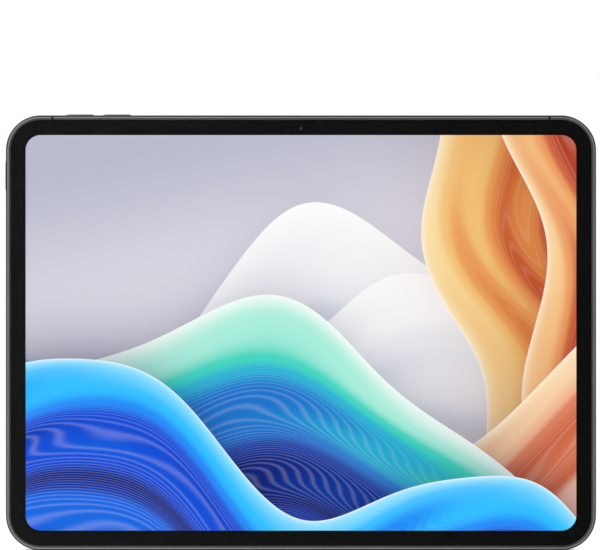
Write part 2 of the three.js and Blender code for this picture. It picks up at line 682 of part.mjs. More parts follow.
function buildSubBoard() {
  const notch = PORT_WIDTH / 2 + LOOSE;
  const portBack = BODY_WIDTH / 2 - PORT_SUNK - PORT_LENGTH;
  const half = SUB_BOARD_HEIGHT / 2;
  const depths = [SUB_BOARD_FRONT, SUB_BOARD_BACK];
  const board = cut(
    solid(block([SUB_BOARD_LEFT, SUB_BOARD_RIGHT], [-half, half], depths)),
    block([portBack - LOOSE, BODY_WIDTH / 2], [-notch, notch], [0, BODY_THICKNESS]),
    ...subBoardScrews.map(({ x, y }) => rod(x, y, BOARD_HOLE_RADIUS, 0, BODY_THICKNESS)),
  );
  add('port_board', board, boardGreen());

  // The ribbon between the boards runs down beside the right-hand cell.
  const left = CELL_WIDTH + CELL_APART / 2 + LOOSE;
  const outline = new THREE.Shape(
    [
      [MAIN_BOARD_HALF - FLEX_WIDTH, BOARD_BOTTOM + 2],
      [left, BOARD_BOTTOM + 2],
      [left, half - 2 - FLEX_WIDTH],
      [SUB_BOARD_LEFT + FLEX_WIDTH, half - 2 - FLEX_WIDTH],
      [SUB_BOARD_LEFT + FLEX_WIDTH, half - 2],
      [left + FLEX_WIDTH, half - 2],
      [left + FLEX_WIDTH, BOARD_BOTTOM + 2 + FLEX_WIDTH],
      [MAIN_BOARD_HALF - FLEX_WIDTH, BOARD_BOTTOM + 2 + FLEX_WIDTH],
    ].map(([x, y]) => new THREE.Vector2(x, y)),
  );
  const back = SUB_BOARD_FRONT - BOND;
  add('interconnect_flex', plate(outline, back - FLEX_THICKNESS, back), flexCopper());
}

function buildScrews() {
  for (const { name, x, y, front } of screws) {
    const head = front - BOND;
    const profile = [
      [0, head - SCREW_HEAD],
      [SCREW_HEAD_RADIUS * 0.75, head - SCREW_HEAD],
      [SCREW_HEAD_RADIUS, head - SCREW_HEAD / 2],
      [SCREW_HEAD_RADIUS, head],
      [SCREW_RADIUS, head],
      [SCREW_RADIUS, head + SCREW_LENGTH],
      [0, head + SCREW_LENGTH],
    ];
    const slot = (width, height) =>
      block([x - width / 2, x + width / 2], [y - height / 2, y + height / 2], [0, head - SCREW_HEAD / 2]);
    const body = cut(solid(turned(x, y, profile, PIN_SIDES)), slot(1.4, 0.4), slot(0.4, 1.4));
    add(name, body, steel());
  }
}

// ---------------------------------------------------------------- cameras

function buildRearCamera() {
  const r = CAMERA_RING_RADIUS;
  const bore = COVER_RADIUS - 0.4;
  const lip = bore - 0.9;
  const glassSeat = COVER_BACK - BOND;
  const flangeTop = CARRIER_FRONT - BOND;
  const bottom = flangeTop - CAMERA_FLANGE_THICKNESS;
  const coneBack = glassSeat - CONE_RISE - CONE_WALL;
  const ring = [
    [lip, bottom],
    [r + CAMERA_FLANGE, bottom],
    [r + CAMERA_FLANGE, flangeTop],
    [r, flangeTop],
    [r, RING_TOP - CAMERA_BEVEL],
    [r - CAMERA_BEVEL, RING_TOP],
    [COVER_RADIUS + 1, RING_TOP],
    [COVER_RADIUS + FIT, RING_TOP - COVER_SUNK],
    [COVER_RADIUS + FIT, glassSeat],
    [bore, glassSeat],
    [bore, coneBack + CONE_RISE / 2],
    [lip, coneBack + CONE_RISE / 3],
    [lip, bottom],
  ];
  add('camera_ring', turned(0, CAMERA_Y, ring), polishedMetal());
  const cover = rod(0, CAMERA_Y, COVER_RADIUS, COVER_BACK, COVER_BACK + COVER_THICKNESS, RING_SIDES);
  add('camera_cover_glass', cover, clearGlass());

  const coneRim = bore - FIT;
  const coneHole = LENS_RADIUS + 0.5;
  const cone = [
    [coneHole, coneBack],
    [coneRim, coneBack + CONE_RISE],
    [coneRim, coneBack + CONE_RISE + CONE_WALL - BOND],
    [coneHole, coneBack + CONE_WALL],
    [coneHole, coneBack],
  ];
  add('camera_cone', turned(0, CAMERA_Y, cone), blackPlastic());

  const moduleBack = bottom;
  const barrelTop = coneBack - BOND;
  const lensSeat = barrelTop - LENS_HEIGHT / 2;
  const barrel = [
    [0, moduleBack + BOND],
    [BARREL_RADIUS, moduleBack + BOND],
    [BARREL_RADIUS, barrelTop],
    [LENS_RADIUS + FIT, barrelTop],
    [LENS_RADIUS + FIT, lensSeat - BOND],
    [0, lensSeat - BOND],
  ];
  add('camera_barrel', turned(0, CAMERA_Y, barrel, RING_SIDES / 2), blackPlastic());
  const lens = [
    [0, lensSeat],
    [LENS_RADIUS, lensSeat],
    [LENS_RADIUS, lensSeat + LENS_HEIGHT * 0.6],
    [LENS_RADIUS * 0.7, lensSeat + LENS_HEIGHT * 0.88],
    [0, lensSeat + LENS_HEIGHT],
  ];
  add('camera_lens', turned(0, CAMERA_Y, lens, RING_SIDES / 2), darkGlass());
  const half = MODULE_SIZE / 2;
  const module = block([-half, half], [CAMERA_Y - half, CAMERA_Y + half], [INNER_FRONT, moduleBack]);
  add('camera_module', module, finish(0x2b2b2d, 0.5, 0.5));
}

function buildFrontCamera() {
  const snoutFront = UNDER_MASK;
  const snoutBack = PANEL_BACK + LOOSE;
  const halfWidth = FRONT_MODULE_WIDTH / 2;
  const bottom = PANEL_HEIGHT / 2 + LOOSE / 2;
  const bodyY = [bottom, bottom + FRONT_MODULE_HEIGHT];
  const bore = FRONT_LENS_THICKNESS + 2 * BOND;
  const body = cut(
    joined(
      block([-halfWidth, halfWidth], bodyY, [snoutBack, snoutBack + FRONT_MODULE_THICKNESS]),
      rod(0, FRONT_CAMERA_Y, FRONT_SNOUT_RADIUS, snoutFront, snoutBack + FIT, 2 * PIN_SIDES),
    ),
    rod(0, FRONT_CAMERA_Y, FRONT_LENS_RADIUS + BOND, 0, snoutFront + bore, 2 * PIN_SIDES),
  );
  add('front_camera_module', body, finish(0x18181a, 0.5, 0.2));
  const lensFront = snoutFront + BOND;
  const lens = rod(
    0,
    FRONT_CAMERA_Y,
    FRONT_LENS_RADIUS,
    lensFront,
    lensFront + FRONT_LENS_THICKNESS,
    2 * PIN_SIDES,
  );
  add('front_camera_lens', lens, darkGlass());
}

// ---------------------------------------------------------------- keys

function buildKey(name, edge, position, length, proud) {
  const place = (geometry) => atEdge(geometry, edge, position);
  const round = (radius, outer, inner) =>
    new THREE.CylinderGeometry(radius, radius, inner - outer, PIN_SIDES).translate(
      0,
      -(outer + inner) / 2,
      0,
    );
  const key = joined(
    place(edgePlate(pill(length, KEY_HEIGHT), -proud, KEY_FLANGE_INNER, PILL_STEPS, KEY_BEVEL)),
    place(edgeBlock(length + 2 * KEY_LIP, KEY_HEIGHT + 2 * KEY_LIP, KEY_FLANGE_OUTER, KEY_FLANGE_INNER)),
    place(round(KEY_NUB_RADIUS, KEY_FLANGE_OUTER, KEY_NUB_END)),
  );
  add(`${name}_key`, key, polishedMetal());

  const plunger = place(round(PLUNGER_RADIUS, PLUNGER_OUTER, PLUNGER_INNER));
  add(`${name}_switch_plunger`, plunger, finish(0xd9d9d4, 0.5, 0));
  const bottom = PLUNGER_INNER + KEY_TRAVEL + BOND;
  const body = cut(
    solid(place(edgeBlock(SWITCH_WIDTH, SWITCH_HEIGHT, SWITCH_OUTER, SWITCH_INNER))),
    place(round(PLUNGER_RADIUS + RUNNING, 0, bottom)),
  );
  add(`${name}_switch_body`, body, steel());
}

// The flex and the bracket that carry the switches of one or more keys along an edge.
function buildKeyMount(name, edge, from, to) {
  const middle = (from + to) / 2;
  const length = to - from;
  const place = (geometry, along = 0) => atEdge(geometry, edge, middle + along);
  const flex = edgeBlock(length, SWITCH_HEIGHT, KEY_FLEX_OUTER, KEY_FLEX_OUTER + KEY_FLEX);
  add(`${name}_key_flex`, place(flex), flexCopper());
  const tab = 2;
  const inner = KEY_BRACKET_OUTER + KEY_BRACKET;
  const tabAt = (side) =>
    place(edgeBlock(tab, SWITCH_HEIGHT, WALL + BOND, inner), side * (length / 2 + LOOSE + tab / 2));
  const bracket = joined(
    place(edgeBlock(length + 2 * (tab + LOOSE), SWITCH_HEIGHT, KEY_BRACKET_OUTER, inner)),
    tabAt(-1),
    tabAt(1),
  );
  add(`${name}_key_bracket`, bracket, steel());
}

function buildKeys() {
  const up = VOLUME_UP_FROM_SIDE - BODY_WIDTH / 2;
  const down = VOLUME_DOWN_FROM_SIDE - BODY_WIDTH / 2;
  const power = BODY_HEIGHT / 2 - POWER_FROM_TOP;
  buildKey('volume_up', 'top', up, VOLUME_KEY_LENGTH, VOLUME_KEY_PROUD);
  buildKey('volume_down', 'top', down, VOLUME_KEY_LENGTH, VOLUME_KEY_PROUD);
  buildKey('power', 'left', power, POWER_KEY_LENGTH, POWER_KEY_PROUD);
  const clear = VOLUME_KEY_LENGTH / 2 + KEY_LIP;
  buildKeyMount('volume', 'top', up - clear, down + clear);
  buildKeyMount('power', 'left', power - POWER_KEY_LENGTH / 2, power + POWER_KEY_LENGTH / 2);
}

// ---------------------------------------------------------------- port and loudspeakers

function buildPort() {
  const place = (geometry) => atEdge(geometry, 'right', 0);
  const inner = PORT_SUNK + PORT_LENGTH;
  const mouth = pill(PORT_WIDTH - 2 * PORT_SHELL, PORT_HEIGHT - 2 * PORT_SHELL);
  const shell = cut(
    solid(place(edgePlate(pill(PORT_WIDTH, PORT_HEIGHT), PORT_SUNK, inner))),
    place(edgePlate(mouth, 0, inner - PORT_SHELL)),
  );
  add('usb_c_shell', shell, polishedMetal());
  const inset = 2 * (PORT_SHELL + FIT);
  const baseInner = inner - PORT_SHELL - BOND;
  const baseOuter = baseInner - TONGUE_BASE;
  const tongue = joined(
    place(edgePlate(pill(PORT_WIDTH - inset, PORT_HEIGHT - inset), baseOuter, baseInner)),
    place(edgeBlock(TONGUE_WIDTH, TONGUE_THICKNESS, baseOuter - TONGUE_LENGTH + FIT, baseOuter + FIT)),
  );
  add('usb_c_tongue', tongue, blackPlastic());
}

function buildSpeakers() {
  for (const [sideName, side] of [['left', -1], ['right', 1]]) {
    for (const [levelName, level] of [['lower', -1], ['upper', 1]]) {
      const y = level * SPEAKER_FROM_MIDDLE;
      const outer = CAVITY_X - 2;
      const outline = roundedRect(
        SPEAKER_WIDTH,
        SPEAKER_LENGTH,
        SPEAKER_CORNER,
        side * (outer - SPEAKER_WIDTH / 2),
        y,
      );
      const reach = [outer - PAST, CAVITY_X - FIT].map((x) => side * x).sort((a, b) => a - b);
      const along = [y - SPEAKER_PORT_LENGTH / 2, y + SPEAKER_PORT_LENGTH / 2];
      const halfPort = SPEAKER_PORT_HEIGHT / 2;
      const box = joined(
        plate(outline, INNER_FRONT, INNER_BACK, SMALL_STEPS, 2 * FIT),
        block(reach, along, [SIDE_DEPTH + FIT - halfPort, SIDE_DEPTH + FIT + halfPort]),
      );
      const duct = [outer - 2 * PAST, CAVITY_X].map((x) => side * x).sort((a, b) => a - b);
      const wall = 0.35;
      const body = cut(
        box,
        block(
          duct,
          [along[0] + wall, along[1] - wall],
          [SIDE_DEPTH + FIT - halfPort + wall, SIDE_DEPTH + FIT + halfPort - wall],
        ),
      );
      add(`speaker_${sideName}_${levelName}`, body, blackPlastic());
    }
  }
}

// ---------------------------------------------------------------- card tray and its ejector

function buildCardTray() {
  const edgeX = BODY_WIDTH / 2;
  const plateY = TRAY_Y + TRAY_OFFSET;
  const halfPlate = TRAY_PLATE_WIDTH / 2;
  const depths = [TRAY_PLATE_FRONT, TRAY_PLATE_BACK];
  const head = roundedRect(TRAY_HEAD_LENGTH, TRAY_HEAD_HEIGHT, TRAY_HEAD_HEIGHT / 2 - SLIDING);
  const pinHole = edgePlate(circle(PIN_HOLE_RADIUS), -PAST, TRAY_HEAD_DEPTH + PAST, HOLE_SIDES);
  const cardMiddle = TRAY_INNER + 2 + CARD_LENGTH / 2;
  const tray = cut(
    joined(
      atEdge(edgePlate(head, 0, TRAY_HEAD_DEPTH, SMALL_STEPS), 'right', TRAY_Y),
      block([TRAY_INNER, edgeX - TRAY_HEAD_DEPTH / 2], [plateY - halfPlate, plateY + halfPlate], depths),
    ),
    atEdge(pinHole, 'right', ROD_Y),
    block(
      [cardMiddle - CARD_LENGTH / 2, cardMiddle + CARD_LENGTH / 2],
      [plateY - CARD_WIDTH / 2, plateY + CARD_WIDTH / 2],
      [0, TRAY_PLATE_FRONT + CARD_POCKET],
    ),
  );
  add('card_tray', tray, blastedMetal());

  const halfRod = ROD_SIZE / 2;
  const rodX = [LEVER_RIGHT + LOOSE, edgeX - TRAY_HEAD_DEPTH - LOOSE];
  const rodDepths = [ROD_DEPTH - halfRod, ROD_DEPTH + halfRod];
  add('eject_rod', block(rodX, [ROD_Y - halfRod, ROD_Y + halfRod], rodDepths), steel());

  const middle = (TRAY_PLATE_FRONT + TRAY_PLATE_BACK) / 2;
  const leverDepths = [middle - LEVER_THICKNESS / 2, middle + LEVER_THICKNESS / 2];
  const reach = LEVER_ARM + halfRod;
  const arm = roundedRect(LEVER_WIDTH, 2 * reach, LEVER_WIDTH / 2 - BOND, PIVOT_X, PIVOT_Y);
  const lever = cut(
    solid(plate(arm, ...leverDepths, SMALL_STEPS)).add(
      solid(rod(PIVOT_X, PIVOT_Y, 2 * PIVOT_RADIUS, ...leverDepths)),
    ),
    rod(PIVOT_X, PIVOT_Y, PIVOT_RADIUS + RUNNING, 0, BODY_THICKNESS),
  );
  add('eject_lever', lever, steel());

  // A folded case, open towards the side wall, with the lever's pin across it.
  const caseX = [SOCKET_LEFT, CAVITY_X - LOOSE];
  const caseY = [ROD_Y - halfRod - LOOSE, plateY + halfPlate + LOOSE];
  const socket = cut(
    solid(
      block(caseX, [caseY[0] - SOCKET_WALL, caseY[1] + SOCKET_WALL], [SOCKET_FRONT, SOCKET_BACK]),
    ),
    block(
      [caseX[0] + SOCKET_WALL, edgeX],
      caseY,
      [SOCKET_FRONT + SOCKET_WALL, SOCKET_BACK - SOCKET_WALL],
    ),
  );
  const pinDepths = [SOCKET_FRONT + SOCKET_WALL / 2, SOCKET_BACK - SOCKET_WALL / 2];
  const pin = solid(rod(PIVOT_X, PIVOT_Y, PIVOT_RADIUS, ...pinDepths));
  add('card_socket', socket.add(pin), steel());
}

// ---------------------------------------------------------------- assembly

buildHousing();
buildRearStrip();
buildFront();
buildDisplay();
buildBattery();
buildMainBoard();
buildSubBoard();
buildScrews();
buildRearCamera();
buildFrontCamera();
buildKeys();
buildPort();
buildSpeakers();
buildCardTray();

// Stood on its lower long edge with the screen towards -Y.
tablet.rotation.x = Math.PI / 2;
tablet.position.z = BODY_HEIGHT / 2;
tablet.updateMatrixWorld(true);

export default tablet;
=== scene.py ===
"""Fine shapes, finishes and studio light for a tablet computer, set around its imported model.

Sizes are in millimetres and angles in degrees; a mesh is turned into metres when it is made. Seen from
the front, x runs to the right and z up. A depth is measured from the front face towards the rear. At an
edge of the body, a piece is drawn looking at that edge from outside, and its heights run outwards.
"""

import json
import logging
import math
from collections.abc import Callable, Mapping, Sequence
from dataclasses import dataclass
from enum import Enum
from typing import Any, NamedTuple

import bmesh
import bpy
from mathutils import Matrix, Vector

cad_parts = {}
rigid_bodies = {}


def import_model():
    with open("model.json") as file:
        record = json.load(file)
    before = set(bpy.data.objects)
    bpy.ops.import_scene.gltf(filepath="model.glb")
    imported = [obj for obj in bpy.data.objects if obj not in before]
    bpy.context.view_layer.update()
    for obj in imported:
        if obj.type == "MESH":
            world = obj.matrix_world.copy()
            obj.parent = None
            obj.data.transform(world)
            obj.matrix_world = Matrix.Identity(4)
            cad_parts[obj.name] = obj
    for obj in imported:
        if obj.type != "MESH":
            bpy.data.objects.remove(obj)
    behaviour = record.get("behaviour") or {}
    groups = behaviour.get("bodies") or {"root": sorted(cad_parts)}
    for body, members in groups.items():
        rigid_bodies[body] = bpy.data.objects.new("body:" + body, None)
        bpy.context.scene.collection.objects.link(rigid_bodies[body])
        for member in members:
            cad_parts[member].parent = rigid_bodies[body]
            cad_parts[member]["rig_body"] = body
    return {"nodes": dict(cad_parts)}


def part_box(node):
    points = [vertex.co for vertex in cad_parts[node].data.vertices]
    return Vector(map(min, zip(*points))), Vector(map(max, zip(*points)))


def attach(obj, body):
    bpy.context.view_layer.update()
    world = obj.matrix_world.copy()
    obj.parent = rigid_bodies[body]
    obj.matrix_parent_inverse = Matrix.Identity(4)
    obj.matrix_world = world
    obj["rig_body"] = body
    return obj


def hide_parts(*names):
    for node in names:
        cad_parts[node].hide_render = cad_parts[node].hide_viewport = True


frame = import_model()

LOG = logging.getLogger("tablet")
MM = 0.001

# Clearances, as the frame has them
BOND = 0.05
FIT = 0.1
SLIDING = 0.1

# Every cutter reaches this far past the surface that it opens.
PAST = 1.0

# A turned piece without a bore closes with a face this small round its axis.
AXIS = 0.05

# How many steps a curve takes, and the angle from which an edge is sharp
CORNER_STEPS = 20
DOME_STEPS = 16
EDGE_STEPS = 6
SMALL_STEPS = 4
RING_STEPS = 128
HOLE_STEPS = 28
SHARP_ANGLE = 28.0

Point = tuple[float, float]
Triple = tuple[float, float, float]
Outline = list[Point]
Rgb = tuple[int, int, int]
Stops = tuple[tuple[float, Rgb], ...]
Colour = tuple[float, float, float, float]

WHITE: Colour = (1.0, 1.0, 1.0, 1.0)


# ---------------------------------------------------------------- shader maths


def linear(colour: Rgb, gain: float = 1.0) -> Colour:
    """Turns a colour as it is written into the light that a shader works in.

    Args:
        colour: Red, green and blue from 0 to 255.
        gain: What the light is multiplied by.

    Returns:
        Red, green, blue and a full alpha.
    """
    def channel(value: int) -> float:
        """One channel, by the usual display curve."""
        share = value / 255
        return share / 12.92 if share <= 0.04045 else ((share + 0.055) / 1.055) ** 2.4

    red, green, blue = (channel(value) * gain for value in colour)
    return (red, green, blue, 1.0)


class Socket:
    """A value that flows through a node tree, with the arithmetic that the finishes need."""

    def __init__(self, shader: "Shader", output: bpy.types.NodeSocket) -> None:
        """Keeps the output and the tree that it belongs to."""
        self.shader = shader
        self.output = output

    def __add__(self, other: "Value") -> "Socket":
        """Self plus other."""
        return self.shader.math("ADD", self, other)

    __radd__ = __add__

    def __sub__(self, other: "Value") -> "Socket":
        """Self minus other."""
        return self.shader.math("SUBTRACT", self, other)

    def __rsub__(self, other: "Value") -> "Socket":
        """Other minus self."""
        return self.shader.math("SUBTRACT", other, self)

    def __mul__(self, other: "Value") -> "Socket":
        """Self times other."""
        return self.shader.math("MULTIPLY", self, other)

    __rmul__ = __mul__

    def __truediv__(self, other: "Value") -> "Socket":
        """Self over other."""
        return self.shader.math("DIVIDE", self, other)

    def __rtruediv__(self, other: "Value") -> "Socket":
        """Other over self."""
        return self.shader.math("DIVIDE", other, self)

    def __pow__(self, other: "Value") -> "Socket":
        """Self to the power other."""
        return self.shader.math("POWER", self, other)


Value = Socket | float


class Shader:
    """A node tree, with one method that adds any node and short forms for the usual ones."""

    def __init__(self, owner: bpy.types.Material | bpy.types.World) -> None:
        """Takes over the node tree of a material or a world."""
        owner.use_nodes = True
        self.tree = owner.node_tree

    def node(
        self,
        kind: str,
        settings: Mapping[str, Any] | None = None,
        sockets: Mapping[str | int, Any] | None = None,
        output: str | int = 0,
    ) -> Socket:
        """Adds a node.

        Args:
            kind: The node's type.
            settings: What is set on the node itself, before its sockets. A ramp's are its stops.
            sockets: A value or a link for each input.
            output: The output that is wanted.

        Returns:
            That output.
        """
        made = self.tree.nodes.new(kind)
        for name, value in (settings or {}).items():
            if name == "stops":
                self._set_stops(made.color_ramp, value)
            else:
                setattr(made, name, value)
        for name, value in (sockets or {}).items():
            self.feed(made.inputs[name], value)
        return Socket(self, made.outputs[output])

    def _set_stops(self, ramp: bpy.types.ColorRamp, stops: Stops) -> None:
        """Gives a colour ramp its stops.

        Args:
            ramp: The ramp.
            stops: The place and the colour of each stop, in order.
        """
        ramp.interpolation = "EASE"
        while len(ramp.elements) < len(stops):
            ramp.elements.new(1.0)
        for element, (position, colour) in zip(ramp.elements, stops):
            element.position = position
            element.color = linear(colour)

    def feed(self, target: bpy.types.NodeSocket, value: Any) -> None:
        """Links a socket to an input, or sets the input's own value.

        Args:
            target: The input.
            value: What it gets.
        """
        if isinstance(value, Socket):
            self.tree.links.new(value.output, target)
        else:
            target.default_value = value

    def math(self, operation: str, *values: Value) -> Socket:
        """One Math node on up to three values."""
        return self.node("ShaderNodeMath", {"operation": operation}, dict(enumerate(values)))

    def sine(self, turns: Value) -> Socket:
        """The sine of a value given in turns."""
        return self.math("SINE", turns * math.tau)

    def clamp(self, value: Value) -> Socket:
        """The value, held between 0 and 1."""
        return self.node("ShaderNodeClamp", {}, {"Value": value})

    def fade(self, value: Value, start: float, end: float) -> Socket:
        """A smooth change from 0 where the value is start to 1 where it is end."""
        settings = {"interpolation_type": "SMOOTHERSTEP"}
        return self.node("ShaderNodeMapRange", settings, {"Value": value, 1: start, 2: end})

    def vector(self, operation: str, *values: Any, scale: float | None = None) -> Socket:
        """One Vector Math node; a dot product or a length comes from its second output.

        Args:
            operation: What the node works out.
            values: Its vectors, as links or values.
            scale: The factor of a SCALE.

        Returns:
            The vector, or the number.
        """
        sockets: dict[str | int, Any] = dict(enumerate(values))
        if scale is not None:
            sockets["Scale"] = scale
        single = operation in ("DOT_PRODUCT", "LENGTH")
        output = "Value" if single else "Vector"
        return self.node("ShaderNodeVectorMath", {"operation": operation}, sockets, output)

    def mix(self, share: Value, low: Any, high: Any, blend: str = "MIX") -> Socket:
        """Mixes two colours.

        Args:
            share: How much of the second colour there is.
            low: The first colour, as a link or a value.
            high: The second colour.
            blend: How they are mixed.

        Returns:
            The mixed colour.
        """
        settings = {"data_type": "RGBA", "blend_type": blend}
        return self.node("ShaderNodeMix", settings, {"Factor": share, 6: low, 7: high}, 2)

    def place(self) -> Socket:
        """The place on the piece, in millimetres."""
        point = self.node("ShaderNodeTexCoord", output="Object")
        return self.vector("SCALE", point, scale=1 / MM)

    def parts(self, place: Socket) -> tuple[Socket, Socket, Socket]:
        """The x, y and z of a place.

        Args:
            place: The place.

        Returns:
            Its three numbers.
        """
        x = self.node("ShaderNodeSeparateXYZ", {}, {0: place}, 0)
        node = x.output.node
        return x, Socket(self, node.outputs[1]), Socket(self, node.outputs[2])

    def stretched(self, place: Socket, *factors: float) -> Socket:
        """The place, with x, y and z multiplied by a factor each."""
        return self.vector("MULTIPLY", place, factors)

    def noise(self, place: Socket, size: float, detail: float = 2.0) -> Socket:
        """Soft noise from 0 to 1.

        Args:
            place: Where it is looked up.
            size: About how large its spots are.
            detail: How many finer layers it has.

        Returns:
            The noise.
        """
        return self.node(
            "ShaderNodeTexNoise", {}, {"Vector": place, "Scale": 1 / size, "Detail": detail}
        )

    def cells(self, place: Socket, size: float, distance: str = "EUCLIDEAN") -> Socket:
        """The distance to the nearest of many scattered points, as a share of their spacing."""
        sockets = {"Vector": place, "Scale": 1 / size}
        return self.node("ShaderNodeTexVoronoi", {"distance": distance}, sockets, "Distance")

    def cell_tone(self, place: Socket, size: float, distance: str = "EUCLIDEAN") -> Socket:
        """A number from 0 to 1 that is the same all over each cell.

        Args:
            place: Where it is looked up.
            size: The cells' size.
            distance: How the distance to a cell's point is measured, which shapes the cells.

        Returns:
            The number.
        """
        sockets = {"Vector": place, "Scale": 1 / size}
        colour = self.node("ShaderNodeTexVoronoi", {"distance": distance}, sockets, "Color")
        return self.node("ShaderNodeSeparateXYZ", {}, {0: colour})

    def rays(self) -> tuple[Socket, Socket]:
        """Whether the camera sees this itself, and whether it sees it in a gloss or through glass.

        Returns:
            The two shares.
        """
        direct = self.node("ShaderNodeLightPath", output="Is Camera Ray")
        outputs = direct.output.node.outputs
        gloss, glass = (Socket(self, outputs[name]) for name in ("Is Glossy Ray", "Is Transmission Ray"))
        return direct, gloss + glass

    def bump(self, height: Socket, relief: float) -> Socket:
        """A normal that follows a height from 0 to 1 over that relief in millimetres."""
        return self.node("ShaderNodeBump", {}, {"Height": height, "Distance": relief * MM}, "Normal")

    def surface(self, sockets: Mapping[str, Any]) -> None:
        """Sets or links the inputs of the material's own surface shader."""
        principled = self.tree.nodes["Principled BSDF"]
        for name, value in sockets.items():
            self.feed(principled.inputs[name], value)


# ---------------------------------------------------------------- outlines


def arc(middle: Point, radius: float, start: float, end: float, steps: int) -> Outline:
    """Points along an arc, with both its ends.

    Args:
        middle: The centre.
        radius: The radius.
        start: The angle of the first point.
        end: The angle of the last point.
        steps: How many equal steps it takes.

    Returns:
        The points.
    """
    angles = [math.radians(start + (end - start) * i / steps) for i in range(steps + 1)]
    return [(middle[0] + radius * math.cos(a), middle[1] + radius * math.sin(a)) for a in angles]


def circle(radius: float, steps: int = RING_STEPS) -> Outline:
    """A circle about the origin."""
    return arc((0.0, 0.0), radius, 0, 360, steps)[:-1]


def hole(radius: float) -> Outline:
    """A small circle about the origin."""
    return circle(radius, HOLE_STEPS)


@dataclass(frozen=True)
class Rect:
    """A rectangle, with its sides' places."""

    left: float
    right: float
    bottom: float
    top: float

    @classmethod
    def sized(cls, width: float, height: float) -> "Rect":
        """A rectangle of that size about the origin."""
        return cls(-width / 2, width / 2, -height / 2, height / 2)

    def inset(self, margin: float) -> "Rect":
        """The rectangle, brought in all round."""
        return Rect(self.left + margin, self.right - margin, self.bottom + margin, self.top - margin)

    def rounded(self, upper: float, lower: float | None = None, steps: int = CORNER_STEPS) -> Outline:
        """The outline with round corners.

        Args:
            upper: The radius of the two upper corners.
            lower: The radius of the two lower corners, if it is another one.
            steps: The steps in each corner.

        Returns:
            The outline's points, anticlockwise.
        """
        low = upper if lower is None else lower
        return [
            *arc((self.right - upper, self.top - upper), upper, 0, 90, steps),
            *arc((self.left + upper, self.top - upper), upper, 90, 180, steps),
            *arc((self.left + low, self.bottom + low), low, 180, 270, steps),
            *arc((self.right - low, self.bottom + low), low, 270, 360, steps),
        ]

    def pill(self) -> Outline:
        """The outline with its short sides fully round.

        Returns:
            The outline's points, anticlockwise.
        """
        radius = (self.top - self.bottom) / 2
        middle = (self.top + self.bottom) / 2
        return [
            *arc((self.right - radius, middle), radius, -90, 90, CORNER_STEPS),
            *arc((self.left + radius, middle), radius, 90, 270, CORNER_STEPS),
        ]

    def corners(self) -> Outline:
        """The outline with sharp corners.

        Returns:
            The outline's points, anticlockwise.
        """
        return [
            (self.right, self.bottom),
            (self.right, self.top),
            (self.left, self.top),
            (self.left, self.bottom),
        ]


class Step(NamedTuple):
    """One step of a section: a size for the outline, a height, and the finish of the face up to it."""

    size: float
    height: float
    finish: int = 0


def bend(
    middle: Point,
    radius: float | Point,
    start: float,
    end: float,
    finish: int = 0,
    steps: int = EDGE_STEPS,
) -> list[Step]:
    """Steps of a section round a curved edge.

    Args:
        middle: The size and the height of the curve's centre.
        radius: Its radius, or one along the size and one along the height.
        start: The angle of the first step.
        end: The angle of the last step.
        finish: The finish of the faces round it.
        steps: How many equal steps it takes.

    Returns:
        The steps.
    """
    along, up = radius if isinstance(radius, tuple) else (radius, radius)
    unit = arc((0.0, 0.0), 1.0, start, end, steps)
    return [Step(middle[0] + along * u, middle[1] + up * v, finish) for u, v in unit]


@dataclass(frozen=True)
class Seat:
    """Where a shape is drawn: its origin, and the directions of across, up and out."""

    origin: Triple
    across: Triple
    up: Triple
    out: Triple

    def matrix(self) -> Matrix:
        """The seat as a matrix, in metres."""
        turn = Matrix((self.across, self.up, self.out)).transposed().to_4x4()
        return Matrix.Translation(Vector(self.origin) * MM) @ turn


def box_of(node: str) -> tuple[Vector, Vector]:
    """The lowest and highest corners of a node, in millimetres."""
    low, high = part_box(node)
    return low / MM, high / MM


def middle_of(node: str) -> Vector:
    """The middle of a node's box, in millimetres."""
    low, high = box_of(node)
    return (low + high) / 2


class Body:
    """The outer block of the tablet, as the frame has it."""

    low, high = box_of("rear_housing")
    corner = 15.0
    half_width = high.x
    thickness = high.y - low.y
    middle_depth = thickness / 2
    rect = Rect(low.x, high.x, low.z, high.z)
    face = Seat((0.0, low.y, 0.0), (1, 0, 0), (0, 0, 1), (0, 1, 0))

    @classmethod
    def outline(cls, inset: float) -> Outline:
        """The outline of the body, brought in all round."""
        return cls.rect.inset(inset).rounded(cls.corner - inset)

    @classmethod
    def depth(cls, y: float) -> float:
        """How far a place lies behind the front face."""
        return y - cls.low.y

    @classmethod
    def behind(cls, x: float, z: float) -> Seat:
        """A seat on the front face for a round piece about a point, whose heights are depths."""
        return Seat((x, cls.low.y, z), (1, 0, 0), (0, 0, -1), (0, 1, 0))


def depths_of(node: str) -> Point:
    """The depths of a node's front and of its rear."""
    low, high = box_of(node)
    return Body.depth(low.y), Body.depth(high.y)


class Edge(Enum):
    """A side face of the body: the direction along it, and the direction out of it."""

    TOP = ((1, 0, 0), (0, 0, 1))
    LEFT = ((0, 0, 1), (-1, 0, 0))
    RIGHT = ((0, 0, 1), (1, 0, 0))

    def seat(self, along: float) -> Seat:
        """A seat at the middle of the side face, at that place along it.

        Args:
            along: The place along the side face.

        Returns:
            The seat.
        """
        across, out = self.value
        reach = Body.high.z if self is Edge.TOP else Body.half_width
        origin = Vector(across) * along + Vector(out) * reach
        up = Vector(out).cross(Vector(across))
        return Seat(tuple(origin), across, tuple(up), out)


KEYS = {"volume_up_key": Edge.TOP, "volume_down_key": Edge.TOP, "power_key": Edge.LEFT}
SCREWS = ("board_screw_left", "board_screw_right", "port_screw_lower", "port_screw_upper")
LENS_RADIUS = box_of("camera_lens")[1].x


# ---------------------------------------------------------------- finishes


class Pattern(NamedTuple):
    """What a finish varies: its tone from dark to light, its roughness and its height."""

    tone: Socket
    rough: Socket
    height: Socket


